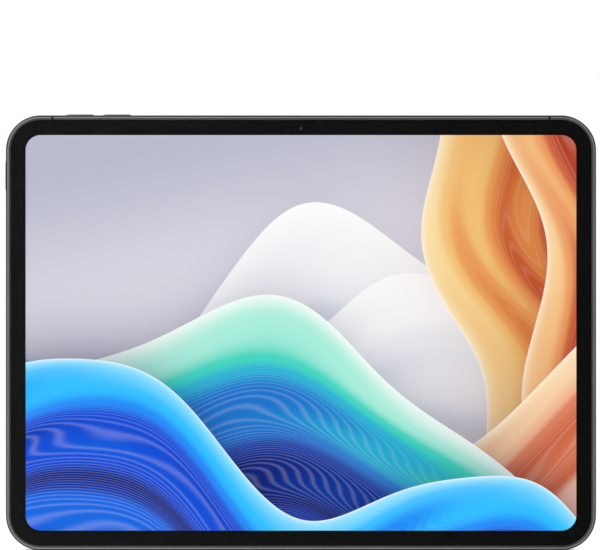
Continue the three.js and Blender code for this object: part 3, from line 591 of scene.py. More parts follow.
@dataclass(frozen=True)
class Finish:
    """A fine-grained surface, and what every finish has."""

    name: str
    colour: Rgb
    roughness: float = 0.5
    metallic: float = 0.0
    grain: float = 0.25
    relief: float = 0.004
    contrast: float = 0.12
    uneven: float = 0.08
    level: float = 0.5

    def material(self) -> bpy.types.Material:
        """The finish as a material, which is made once.

        Returns:
            The material.
        """
        found = bpy.data.materials.get(self.name)
        if found is None:
            found = bpy.data.materials.new(self.name)
            self.paint(Shader(found))
        return found

    def pattern(self, shader: Shader, place: Socket) -> Pattern:
        """Draws the pattern.

        Args:
            shader: The material's nodes.
            place: The place on the piece.

        Returns:
            The tone, roughness and height, each from 0 to 1.
        """
        fine = shader.noise(place, self.grain, 3.0)
        cloud = shader.noise(place, 60 * self.grain, 2.0)
        return Pattern(fine * 0.6 + cloud * 0.4, fine * 0.3 + cloud * 0.7, fine)

    def extra(self) -> dict[str, Any]:
        """Further values of the surface shader."""
        return {"Specular IOR Level": self.level}

    def paint(self, shader: Shader) -> None:
        """Builds the material from the pattern.

        Args:
            shader: The material's nodes.
        """
        place = shader.place()
        tone, rough, height = self.pattern(shader, place)
        dark = linear(self.colour, 1 - self.contrast)
        light = linear(self.colour, 1 + self.contrast)
        shader.surface(
            {
                "Base Color": shader.mix(shader.fade(tone, 0.2, 0.8), dark, light),
                "Roughness": shader.clamp(self.roughness + (rough - 0.5) * self.uneven),
                "Metallic": self.metallic,
                "Normal": shader.bump(height, self.relief),
                **self.extra(),
            }
        )


@dataclass(frozen=True)
class BlastedMetal(Finish):
    """Bead-blasted and dyed aluminium, worn a little lighter along the outer edge."""

    metallic: float = 1.0
    grain: float = 0.22
    drift: float = 45.0
    wear: float = 0.6
    wear_size: float = 2.5

    def pattern(self, shader: Shader, place: Socket) -> Pattern:
        """Pits of two sizes, slow drifts of tone, and a lighter, smoother worn edge.

        Args:
            shader: The material's nodes.
            place: The place on the piece.

        Returns:
            The tone, roughness and height.
        """
        fine = shader.noise(place, self.grain, 2.0)
        pits = shader.cells(place, 2.2 * self.grain)
        cloud = shader.noise(place, self.drift, 2.0)
        rim = 1 - shader.fade(edge_distance(shader, place), 0.0, self.wear)
        worn = rim * shader.fade(shader.noise(place, self.wear_size, 3.0), 0.42, 0.7)
        tone = fine * 0.5 + pits * 0.25 + cloud * 0.3 + worn * 0.1
        return Pattern(tone, cloud * 0.7 + fine * 0.5 - worn * 0.25, fine * 0.6 + pits * 0.4)


@dataclass(frozen=True)
class PolishedMetal(Finish):
    """Diamond-cut or polished metal, with hair-fine marks along x and z."""

    metallic: float = 1.0
    grain: float = 0.05
    relief: float = 0.0006
    contrast: float = 0.05
    stretch: float = 0.04
    smudge: float = 6.0

    def pattern(self, shader: Shader, place: Socket) -> Pattern:
        """Long fine lines, and a few soft smudges.

        Args:
            shader: The material's nodes.
            place: The place on the piece.

        Returns:
            The tone, roughness and height.
        """
        along = shader.noise(shader.stretched(place, self.stretch, 1.0, 1.0), self.grain, 2.0)
        upward = shader.noise(shader.stretched(place, 1.0, 1.0, self.stretch), self.grain, 2.0)
        smudge = shader.noise(place, self.smudge, 3.0)
        lines = (along + upward) * 0.5
        return Pattern(lines * 0.7 + smudge * 0.3, smudge, lines)


@dataclass(frozen=True)
class TurnedMetal(Finish):
    """Metal turned on a lathe about the piece's own axis."""

    metallic: float = 1.0
    pitch: float = 0.12
    relief: float = 0.0012
    sheen: float = 0.75
    sheen_turn: float = 0.25
    smudge: float = 3.0

    def extra(self) -> dict[str, Any]:
        """Reflections drawn out across the cutting marks."""
        return {"Anisotropic": self.sheen, "Anisotropic Rotation": self.sheen_turn}

    def pattern(self, shader: Shader, place: Socket) -> Pattern:
        """Rings of uneven depth about the axis.

        Args:
            shader: The material's nodes.
            place: The place on the piece.

        Returns:
            The tone, roughness and height.
        """
        radius = shader.vector("LENGTH", shader.stretched(place, 1.0, 1.0, 0.0))
        rings = shader.sine(radius / self.pitch) * 0.5 + 0.5
        uneven = shader.node(
            "ShaderNodeTexNoise",
            {"noise_dimensions": "1D"},
            {"W": radius, "Scale": 3 / self.pitch, "Detail": 2.0},
        )
        smudge = shader.noise(place, self.smudge, 2.0)
        return Pattern(uneven * 0.7 + rings * 0.3, uneven * 0.5 + smudge * 0.5, rings * uneven)


@dataclass(frozen=True)
class PressedSteel(Finish):
    """Rolled and pressed sheet metal."""

    metallic: float = 1.0
    grain: float = 0.2
    relief: float = 0.002
    stretch: float = 0.06
    stain: float = 9.0

    def pattern(self, shader: Shader, place: Socket) -> Pattern:
        """Rolling lines along x, with stains.

        Args:
            shader: The material's nodes.
            place: The place on the piece.

        Returns:
            The tone, roughness and height.
        """
        rolled = shader.noise(shader.stretched(place, self.stretch, 1.0, 1.0), self.grain, 3.0)
        stain = shader.noise(place, self.stain, 4.0)
        return Pattern(rolled * 0.5 + stain * 0.5, stain, rolled)


@dataclass(frozen=True)
class MouldedPlastic(Finish):
    """Moulded plastic with a spark-eroded texture."""

    grain: float = 0.3
    relief: float = 0.008
    drift: float = 12.0

    def pattern(self, shader: Shader, place: Socket) -> Pattern:
        """Small round pits in a soft drift.

        Args:
            shader: The material's nodes.
            place: The place on the piece.

        Returns:
            The tone, roughness and height.
        """
        pits = shader.cells(place, self.grain)
        cloud = shader.noise(place, self.drift, 2.0)
        return Pattern(pits * 0.5 + cloud * 0.5, pits * 0.4 + cloud * 0.6, pits)


@dataclass(frozen=True)
class PrismFilm(Finish):
    """A white optical film with fine ridges."""

    pitch: float = 0.1
    speck: float = 1.5

    def pattern(self, shader: Shader, place: Socket) -> Pattern:
        """Ridges along x, with a few specks.

        Args:
            shader: The material's nodes.
            place: The place on the piece.

        Returns:
            The tone, roughness and height.
        """
        _, _, z = shader.parts(place)
        ridges = shader.sine(z / self.pitch) * 0.5 + 0.5
        specks = shader.noise(place, self.speck, 2.0)
        return Pattern(specks, specks * 0.5 + ridges * 0.5, ridges)


@dataclass(frozen=True)
class Foil(Finish):
    """Laminated foil, with shallow creases."""

    grain: float = 7.0
    relief: float = 0.05
    weave: float = 0.3

    def pattern(self, shader: Shader, place: Socket) -> Pattern:
        """Creases between broad flat cells, over a fine weave.

        Args:
            shader: The material's nodes.
            place: The place on the piece.

        Returns:
            The tone, roughness and height.
        """
        bent = shader.vector("ADD", place, shader.vector("SCALE", place, scale=0.02))
        cells = shader.cells(bent, self.grain)
        weave = shader.noise(place, self.weave, 2.0)
        return Pattern(cells * 0.4 + weave * 0.6, cells, cells * 0.9 + weave * 0.1)


@dataclass(frozen=True)
class CircuitBoard(Finish):
    """A printed circuit: a lacquered base, tracks under the lacquer, bare pads and small parts."""

    track: Rgb = (60, 110, 70)
    pad: Rgb = (205, 170, 90)
    chip: Rgb = (24, 24, 26)
    pitch: float = 1.6
    track_run: float = 9.0
    chip_size: float = 5.0

    def paint(self, shader: Shader) -> None:
        """Lays tracks, pads and parts over the base.

        Args:
            shader: The material's nodes.
        """
        place = shader.place()
        x, _, z = shader.parts(place)
        turn = shader.fade(shader.cell_tone(place, self.track_run, "CHEBYCHEV"), 0.45, 0.55)
        lines = shader.sine((x * turn + z * (1 - turn)) / self.pitch)
        tracks = shader.fade(lines, 0.2, 0.5)
        pads = 1 - shader.fade(shader.cells(place, self.pitch, "CHEBYCHEV"), 0.16, 0.2)
        chips = shader.fade(shader.cell_tone(place, self.chip_size, "CHEBYCHEV"), 0.62, 0.64)
        grain = shader.noise(place, self.grain, 2.0)
        base = shader.mix(tracks * 0.8, linear(self.colour), linear(self.track))
        parts = shader.mix(chips, shader.mix(pads, base, linear(self.pad)), linear(self.chip))
        shader.surface(
            {
                "Base Color": parts,
                "Roughness": shader.clamp(self.roughness + (grain - 0.5) * self.uneven + chips * 0.2),
                "Metallic": shader.clamp(pads * (1 - chips)),
                "Normal": shader.bump(tracks * 0.3 + pads * 0.4 + chips, self.relief),
            }
        )


@dataclass(frozen=True)
class CoatedGlass(Finish):
    """Black-backed or see-through glass, with faint polishing haze and a few smears."""

    clear: float = 0.0
    index: float = 1.5
    coat: float = 0.0
    haze: float = 25.0
    smear: float = 9.0

    def extra(self) -> dict[str, Any]:
        """How clear the glass is, how it bends light and how strongly it reflects.

        Returns:
            The values.
        """
        return {
            "Transmission Weight": self.clear,
            "IOR": self.index,
            "Specular IOR Level": self.level,
            "Coat Weight": self.coat,
            "Coat Roughness": self.roughness,
        }

    def pattern(self, shader: Shader, place: Socket) -> Pattern:
        """Broad haze and soft smears; the height is the glass's slight waviness.

        Args:
            shader: The material's nodes.
            place: The place on the piece.

        Returns:
            The tone, roughness and height.
        """
        haze = shader.noise(place, self.haze, 3.0)
        smear = shader.noise(shader.stretched(place, 0.5, 1.0, 1.2), self.smear, 4.0)
        return Pattern(haze, shader.fade(smear, 0.5, 0.9), haze)


@dataclass(frozen=True)
class LensGlass(Finish):
    """A dark lens, with the coating's reflection painted in as rings from violet near the middle through
    blue to green.
    """

    radius: float = 1.8
    index: float = 1.7
    coat: float = 0.5
    coat_roughness: float = 0.02
    ripple: float = 1.0
    # Painted reflection of the coating: rings of colour and of lighter grey, by the share of the radius
    coating_reflection_rings: Stops = (
        (0.0, (4, 4, 8)),
        (0.32, (22, 16, 44)),
        (0.52, (40, 52, 92)),
        (0.7, (10, 24, 30)),
        (0.86, (44, 46, 60)),
        (1.0, (8, 8, 12)),
    )

    def paint(self, shader: Shader) -> None:
        """Paints the coating's reflection into the glass's colour, in rings about the piece's own axis.

        Args:
            shader: The material's nodes.
        """
        place = shader.place()
        radius = shader.vector("LENGTH", shader.stretched(place, 1.0, 1.0, 0.0)) / self.radius
        ripple = shader.noise(place, self.ripple, 2.0)
        shader.surface(
            {
                "Base Color": shader.node("ShaderNodeValToRGB", {"stops": self.coating_reflection_rings}, {0: radius}),
                "Roughness": shader.clamp(self.roughness + ripple * self.uneven),
                "IOR": self.index,
                "Specular IOR Level": self.level,
                "Coat Weight": self.coat,
                "Coat Roughness": self.coat_roughness,
                "Normal": shader.bump(ripple, self.relief),
            }
        )


def edge_distance(shader: Shader, place: Socket) -> Socket:
    """How far inside the body's outline a place lies.

    Args:
        shader: The material's nodes.
        place: The place, in millimetres.

    Returns:
        The distance in millimetres.
    """
    rect = Body.rect
    centre = (0.0, 0.0, (rect.top + rect.bottom) / 2)
    reach = (rect.right - Body.corner, 0.0, (rect.top - rect.bottom) / 2 - Body.corner)
    flat = shader.vector("MULTIPLY", shader.vector("SUBTRACT", place, centre), (1.0, 0.0, 1.0))
    past = shader.vector("SUBTRACT", shader.vector("ABSOLUTE", flat), reach)
    outside = shader.vector("LENGTH", shader.vector("MAXIMUM", past, (0.0, 0.0, 0.0)))
    x, _, z = shader.parts(past)
    nearer = shader.math("MINIMUM", shader.math("MAXIMUM", x, z), 0.0)
    return Body.corner - outside - nearer


# ---------------------------------------------------------------- the lit picture


class Run(Enum):
    """Which way the edge of a sheet of colour runs."""

    ACROSS = "across the screen, with the sheet below it"
    UPWARD = "up the screen, with the sheet to its right"


class Swell(NamedTuple):
    """One wave in an edge: its height as a share, how many cross the screen, and its start."""

    height: float
    count: float
    start: float


@dataclass(frozen=True)
class ColourSheet:
    """One soft sheet of colour with a wavy edge; distances are shares of the screen's height."""

    run: Run
    start: float
    rise: float
    swells: tuple[Swell, ...]
    reach: float
    stops: Stops
    folds: float = 2.0
    fold_depth: float = 0.12
    lean: float = 0.6
    lines: float = 95.0
    ribs: float = 0.04
    glow: float = 0.5
    shadow: float = 0.25
    shade: Rgb = (60, 70, 120)
    fold_bow: float = 0.22
    line_fall: float = 330.0
    glow_fall: float = 45.0
    glow_share: float = 0.35
    shadow_fall: float = 12.0
    edge_blur: float = 0.0012

    def edge(self, shader: Shader, u: Socket, v: Socket) -> tuple[Socket, Socket]:
        """Finds the sheet's edge.

        Args:
            shader: The material's nodes.
            u: The place across the screen, from 0 at its left.
            v: The place up the screen, from 0 at its bottom.

        Returns:
            The distance inside the edge, and the place along it.
        """
        along, over = (u, v) if self.run is Run.ACROSS else (v, u)
        line: Value = along * self.rise + self.start
        for swell in self.swells:
            line = line + shader.sine(along * swell.count + swell.start) * swell.height
        inside = line - over if self.run is Run.ACROSS else over - line
        return inside, along

    def lay(self, shader: Shader, under: Socket, u: Socket, v: Socket) -> Socket:
        """Lays the sheet over what is under it.

        Args:
            shader: The material's nodes.
            under: The colour under the sheet.
            u: The place across the screen.
            v: The place up the screen.

        Returns:
            The colour with the sheet on it.
        """
        inside, along = self.edge(shader, u, v)
        depth = inside / self.reach
        bow = shader.sine(along * 1.3 + depth * 0.4) * self.fold_bow
        fold = shader.sine(depth * self.folds + along * self.lean + bow) * self.fold_depth
        tone = shader.clamp(depth + fold * shader.clamp(depth * 3.0))
        colour = shader.node("ShaderNodeValToRGB", {"stops": self.stops}, {0: tone})
        warped = (inside + fold * self.reach * 0.5) * self.lines
        rib = (shader.sine(warped) * 0.5 + 0.5) ** 3.0 * shader.fade(depth, 0.1, 0.5)
        colour = shader.mix(rib * self.ribs, colour, WHITE, "SCREEN")
        off = shader.math("ABSOLUTE", inside)
        line = shader.math("EXPONENT", off * -self.line_fall)
        lit = line + shader.math("EXPONENT", off * -self.glow_fall) * self.glow_share
        colour = shader.mix(shader.clamp(lit * self.glow), colour, WHITE, "SCREEN")
        shade = shader.math("EXPONENT", off * -self.shadow_fall) * self.shadow
        shaded = shader.mix(shade, under, linear(self.shade), "MULTIPLY")
        return shader.mix(shader.fade(inside, -self.edge_blur, self.edge_blur), shaded, colour)


@dataclass(frozen=True)
class WaveScreen(Finish):
    """A lit panel that shows plain soft waves of colour."""

    left: float = -119.0
    bottom: float = 8.5
    width: float = 238.0
    height: float = 171.0
    drift_size: float = 90.0
    drift: Point = (0.05, 0.06)
    slope: Point = (0.35, 1.1)
    cell: float = 0.12
    ground: Stops = ((0.0, (236, 233, 240)), (0.55, (223, 220, 231)), (1.0, (186, 188, 205)))
    sheets: tuple[ColourSheet, ...] = ()

    def paint(self, shader: Shader) -> None:
        """Lays the sheets in order over a pale ground, and lights the picture.

        Args:
            shader: The material's nodes.
        """
        place = shader.place()
        x, _, z = shader.parts(place)
        drift = shader.noise(place, self.drift_size, 0.0) - 0.5
        u = (x - self.left) / self.width + drift * self.drift[0]
        v = (z - self.bottom) / self.height + drift * self.drift[1]
        height = shader.clamp(v * self.slope[1] - u * self.slope[0])
        colour = shader.node("ShaderNodeValToRGB", {"stops": self.ground}, {0: height})
        for sheet in self.sheets:
            colour = sheet.lay(shader, colour, u, v)
        cell = shader.noise(place, self.cell, 0.0)
        shader.surface(
            {
                "Base Color": linear(self.colour),
                "Roughness": shader.clamp(self.roughness + (cell - 0.5) * self.uneven),
                "Emission Color": colour,
                "Emission Strength": 1.0,
                "Normal": shader.bump(cell, self.relief),
                **self.extra(),
            }
        )


PICTURE = (
    ColourSheet(
        Run.ACROSS, 0.5, 0.12, (Swell(0.24, 1.0, -0.3), Swell(0.035, 2.4, 0.15)), 0.62,
        (
            (0.0, (255, 255, 255)), (0.3, (246, 247, 250)), (0.55, (226, 229, 238)),
            (0.75, (240, 241, 245)), (1.0, (214, 218, 230)),
        ),
        folds=2.2, ribs=0.0, shadow=0.12, shade=(150, 150, 180),
    ),
    ColourSheet(
        Run.ACROSS, 0.3, 0.34, (Swell(0.1, 1.15, -0.55), Swell(0.02, 2.9, 0.35)), 0.5,
        ((0.0, (255, 255, 255)), (0.4, (238, 240, 245)), (0.7, (220, 226, 236)), (1.0, (236, 240, 244))),
        folds=1.8, ribs=0.02, shadow=0.12, shade=(150, 150, 180),
    ),
    ColourSheet(
        Run.UPWARD, 0.8, -0.03, (Swell(0.055, 0.95, 0.0), Swell(0.01, 2.1, 0.3)), 0.32,
        (
            (0.0, (253, 224, 160)), (0.16, (246, 196, 118)), (0.34, (238, 160, 88)),
            (0.5, (228, 138, 70)), (0.66, (206, 98, 48)), (0.82, (186, 68, 34)), (1.0, (226, 140, 88)),
        ),
        folds=3.4, fold_depth=0.17, lean=0.7, ribs=0.06, glow=0.6, shadow=0.14, shade=(190, 120, 80),
    ),
    ColourSheet(
        Run.UPWARD, 0.95, -0.06, (Swell(0.03, 1.3, 0.35),), 0.2,
        (
            (0.0, (250, 206, 138)), (0.2, (236, 156, 92)), (0.45, (204, 92, 48)),
            (0.7, (176, 60, 32)), (1.0, (214, 112, 66)),
        ),
        folds=2.6, fold_depth=0.18, lean=1.0, ribs=0.08, glow=0.55, shadow=0.3, shade=(150, 60, 30),
    ),
    ColourSheet(
        Run.ACROSS, -0.5, 0.94, (Swell(0.045, 1.9, 0.2),), 0.4,
        (
            (0.0, (255, 226, 178)), (0.18, (246, 188, 150)), (0.42, (226, 128, 90)),
            (0.68, (210, 98, 62)), (1.0, (240, 186, 164)),
        ),
        folds=2.4, fold_depth=0.16, lean=1.2, ribs=0.1, glow=0.6, shadow=0.22, shade=(160, 70, 40),
    ),
    ColourSheet(
        Run.ACROSS, 0.4, -0.42, (Swell(0.05, 1.5, 0.12),), 0.42,
        (
            (0.0, (132, 184, 252)), (0.3, (88, 150, 244)), (0.6, (38, 98, 216)),
            (0.85, (28, 80, 190)), (1.0, (24, 66, 160)),
        ),
        folds=1.3, fold_depth=0.1, ribs=0.02, glow=0.3, shadow=0.1,
    ),
    ColourSheet(
        Run.ACROSS, 0.5, -0.3, (Swell(0.2, 0.82, -0.13), Swell(0.022, 2.3, 0.2)), 0.56,
        (
            (0.0, (232, 250, 242)), (0.1, (170, 238, 220)), (0.22, (64, 214, 192)),
            (0.34, (36, 178, 214)), (0.5, (24, 118, 206)), (0.68, (12, 60, 162)),
            (0.84, (8, 38, 132)), (1.0, (16, 66, 178)),
        ),
        folds=2.8, fold_depth=0.09, lean=0.8, ribs=0.09, glow=0.6, shadow=0.3,
    ),
    ColourSheet(
        Run.ACROSS, 0.37, -0.4, (Swell(0.13, 1.35, 0.06), Swell(0.02, 2.8, 0.45)), 0.42,
        (
            (0.0, (120, 222, 255)), (0.1, (42, 190, 255)), (0.3, (20, 138, 248)),
            (0.5, (14, 78, 214)), (0.7, (8, 36, 128)), (0.86, (12, 52, 160)), (1.0, (20, 104, 226)),
        ),
        folds=2.4, fold_depth=0.14, lean=1.3, ribs=0.1, glow=0.7, shadow=0.4,
    ),
)


class Finishes:
    """Every finish of the tablet."""

    blasted = BlastedMetal("blasted_metal", (126, 127, 130), 0.36, contrast=0.14, uneven=0.1)
    # The front face's copy of the blasted metal: a finer blast, and a lighter colour that is painted
    # light
    rim = BlastedMetal("fine_blasted_rim_painted_light", (186, 187, 190), 0.3, grain=0.12, relief=0.002)
    # The round edges' copy of the blasted metal, with a darker colour that is painted shade
    edge = BlastedMetal("round_edge_painted_shade", (40, 41, 44), 0.3, grain=0.12, relief=0.002)
    chamfer = PolishedMetal("polished_chamfer", (196, 198, 202), 0.14)
    key = BlastedMetal("satin_key_metal", (176, 178, 181), 0.3, grain=0.12, relief=0.002)
    strip = CoatedGlass(
        "black_strip_glass", (10, 10, 12), 0.03,
        relief=0.001, uneven=0.03, level=1.0, index=1.8, coat=0.5,
    )
    cover = CoatedGlass(
        "clear_cover_glass", (255, 255, 255), 0.0,
        relief=0.0, contrast=0.0, uneven=0.0, clear=1.0, index=1.04,
    )
    lens_cover = CoatedGlass(
        "lens_cover_glass", (228, 230, 236), 0.0,
        relief=0.0, contrast=0.02, uneven=0.0, clear=1.0, index=1.06,
    )
    ink = Finish("black_border_ink", (4, 4, 4), 0.1, grain=0.3, relief=0.0001, uneven=0.04, level=0.2)
    screen = WaveScreen(
        "lit_screen", (3, 3, 4), 0.12, grain=0.1, relief=0.0001, uneven=0.04, level=0.1, sheets=PICTURE
    )
    ring = TurnedMetal("turned_ring_metal", (128, 130, 134), 0.36, sheen=0.95)
    ring_edge = PolishedMetal("polished_ring_edge", (214, 216, 220), 0.08)
    ring_dark = TurnedMetal("dark_turned_metal", (38, 39, 42), 0.4)
    cone = TurnedMetal("dark_cone_metal", (44, 45, 54), 0.3, pitch=0.5, relief=0.002, sheen=0.9)
    lens = LensGlass("camera_lens_glass", (10, 10, 14), 0.02, relief=0.001, uneven=0.02, level=0.8)
    front_lens = LensGlass(
        "front_lens_glass", (10, 10, 14), 0.02, relief=0.001, uneven=0.02, level=0.8, radius=0.8
    )
    plastic = MouldedPlastic("black_moulded_plastic", (30, 30, 32), 0.55)
    insert = MouldedPlastic("antenna_break_plastic", (22, 22, 24), 0.45, grain=0.12, relief=0.002)
    white_plastic = MouldedPlastic("switch_plastic", (217, 217, 212), 0.45)
    rubber = MouldedPlastic("seal_rubber", (22, 22, 22), 0.85, grain=0.15)
    film = PrismFilm("optical_film", (232, 232, 230), 0.45)
    guide = PrismFilm("light_guide_acrylic", (222, 228, 232), 0.12, pitch=0.5)
    steel = PressedSteel("pressed_steel", (154, 155, 157), 0.35)
    screw = TurnedMetal("screw_steel", (120, 121, 124), 0.3, pitch=0.2, sheen=0.3)
    board = CircuitBoard("circuit_board", (20, 48, 30), 0.35, relief=0.05)
    flex = CircuitBoard(
        "flex_circuit", (150, 92, 38), 0.4, relief=0.02,
        track=(190, 118, 56), pad=(214, 176, 96), chip=(170, 104, 44), pitch=0.8,
    )
    pouch = Foil("cell_pouch_foil", (62, 64, 68), 0.42, metallic=0.6)
    wrap = Foil("cell_wrap_film", (36, 40, 34), 0.4, grain=3.0, relief=0.02)
    graphite = Foil("graphite_sheet", (40, 40, 42), 0.5, metallic=0.3, grain=2.0, relief=0.01)
    port = PressedSteel("port_shell_steel", (186, 187, 190), 0.24)
    contact = PolishedMetal("gold_contact", (226, 184, 96), 0.18)
    phosphor = CircuitBoard(
        "led_strip_face", (232, 230, 205), 0.4, relief=0.02,
        track=(238, 236, 216), pad=(244, 222, 96), chip=(228, 226, 204), pitch=1.5,
    )


# ---------------------------------------------------------------- pieces


class Part:
    """One piece while it is shaped and dressed."""

    def __init__(self, name: str, *finishes: Finish) -> None:
        """Starts an empty piece.

        Args:
            name: The piece's name.
            finishes: The finishes that its faces choose from, by number.
        """
        mesh = bpy.data.meshes.new(name)
        self.piece = bpy.data.objects.new(name, mesh)
        bpy.context.scene.collection.objects.link(self.piece)
        for finish in finishes:
            mesh.materials.append(finish.material())

    @classmethod
    def tool(cls) -> "Part":
        """An empty piece that is only joined to another one or cut from it."""
        return cls("tool")

    def loft(
        self, seat: Seat, shape: Callable[[float], Outline], steps: Sequence[Step], looped: bool = False
    ) -> "Part":
        """Adds a closed shell through a row of outlines.

        Args:
            seat: Where it is drawn.
            shape: Gives the outline for a step's size, always with as many points.
            steps: The steps of the section, in order.
            looped: Whether the last step meets the first, as in a ring, and no end is closed.

        Returns:
            The piece.
        """
        made = bmesh.new()
        rings = [
            [made.verts.new((u * MM, v * MM, step.height * MM)) for u, v in shape(step.size)]
            for step in steps
        ]
        bands = list(zip(rings, rings[1:], steps[1:]))
        if looped:
            bands.append((rings[-1], rings[0], steps[0]))
        else:
            made.faces.new(rings[0]).material_index = steps[0].finish
            made.faces.new(rings[-1]).material_index = steps[-1].finish
        for lower, upper, step in bands:
            for i, corner in enumerate(lower):
                after = (i + 1) % len(lower)
                face = made.faces.new((corner, lower[after], upper[after], upper[i]))
                face.material_index = step.finish
        made.transform(seat.matrix())
        bmesh.ops.recalc_face_normals(made, faces=made.faces)
        made.from_mesh(self.piece.data)
        made.to_mesh(self.piece.data)
        made.free()
        return self

    def turned(self, seat: Seat, steps: Sequence[Step], looped: bool = False) -> "Part":
        """Adds a round shell about the seat's axis, and puts the piece's own origin there.

        Args:
            seat: Where it is turned.
            steps: The steps of its section.
            looped: Whether the last step meets the first.

        Returns:
            The piece.
        """
        self.loft(seat, circle, steps, looped)
        self.piece.data.transform(seat.matrix().inverted())
        self.piece.matrix_world = seat.matrix()
        return self

    def block(self, low: Sequence[float], high: Sequence[float]) -> "Part":
        """Adds a block between two corners, whose second number is a depth."""
        rect = Rect(low[0], high[0], low[2], high[2])
        return self.loft(Body.face, lambda size: rect.corners(), [Step(0, low[1]), Step(0, high[1])])

    def _combine(self, operation: str, tools: Sequence["Part"]) -> "Part":
        """Joins, cuts or intersects with other pieces, which are then removed.

        Args:
            operation: UNION, DIFFERENCE or INTERSECT.
            tools: The other pieces.

        Returns:
            The piece.
        """
        materials = self.piece.data.materials
        for tool in tools:
            for polygon in tool.piece.data.polygons:
                polygon.material_index = min(polygon.material_index, len(materials) - 1)
            for material in materials:
                tool.piece.data.materials.append(material)
            modifier = self.piece.modifiers.new("combine", "BOOLEAN")
            modifier.operation = operation
            modifier.solver = "MANIFOLD"
            modifier.object = tool.piece
        shown = self.piece.evaluated_get(bpy.context.evaluated_depsgraph_get())
        mesh = bpy.data.meshes.new_from_object(shown)
        self.piece.modifiers.clear()
        self.piece.data = mesh
        for tool in tools:
            bpy.data.objects.remove(tool.piece)
        return self

    def join(self, *tools: "Part") -> "Part":
        """Joins other pieces to this one."""
        return self._combine("UNION", tools)

    def cut(self, *tools: "Part") -> "Part":
        """Cuts other pieces from this one."""
        return self._combine("DIFFERENCE", tools)

    def keep_within(self, tool: "Part") -> "Part":
        """Keeps only what lies inside another piece."""
        return self._combine("INTERSECT", [tool])

    def copy(self, name: str, *finishes: Finish) -> "Part":
        """Makes a second piece of the same shape.

        Args:
            name: The new piece's name.
            finishes: Its finishes.

        Returns:
            The new piece.
        """
        twin = Part(name, *finishes)
        mesh = self.piece.data.copy()
        mesh.materials.clear()
        for finish in finishes:
            mesh.materials.append(finish.material())
        twin.piece.data = mesh
        twin.piece.matrix_world = self.piece.matrix_world.copy()
        return twin

    def stand_for(self, node: str, slot: str) -> None:
        """Smooths the piece and gives it the place of a node of the frame.

        Args:
            node: The node that it stands for.
            slot: The record's material slot; it is not used.
        """
        self.ride_with(node)
        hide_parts(node)

    def ride_with(self, node: str) -> None:
        """Smooths the piece and lets it move with a node of the frame.

        Args:
            node: The node that it moves with.
        """
        mesh = self.piece.data
        mesh.shade_smooth()
        mesh.set_sharp_from_angle(angle=math.radians(SHARP_ANGLE))
        weighted = self.piece.modifiers.new("even_normals", "WEIGHTED_NORMAL")
        weighted.keep_sharp = True
        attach(self.piece, frame["nodes"][node]["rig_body"])
        LOG.info("%s: %d faces, with %s", self.piece.name, len(mesh.polygons), node)


def flared(mouth: float, chamfer: float, end: float, size: float = 0.0) -> list[Step]:
    """The steps of a cutter that leaves a polished chamfer round its mouth.

    Args:
        mouth: The height of the surface that it opens through, with the outside above it.
        chamfer: The chamfer's width.
        end: The height of the far end.
        size: The cutter's own size; a chamfer makes it grow.

    Returns:
        The steps.
    """
    side = 1 if mouth > end else -1
    return [
        Step(size + chamfer + PAST, mouth + side * PAST, 1),
        Step(size, mouth - side * chamfer, 1),
        Step(size, end, 0),
    ]


# ---------------------------------------------------------------- housing


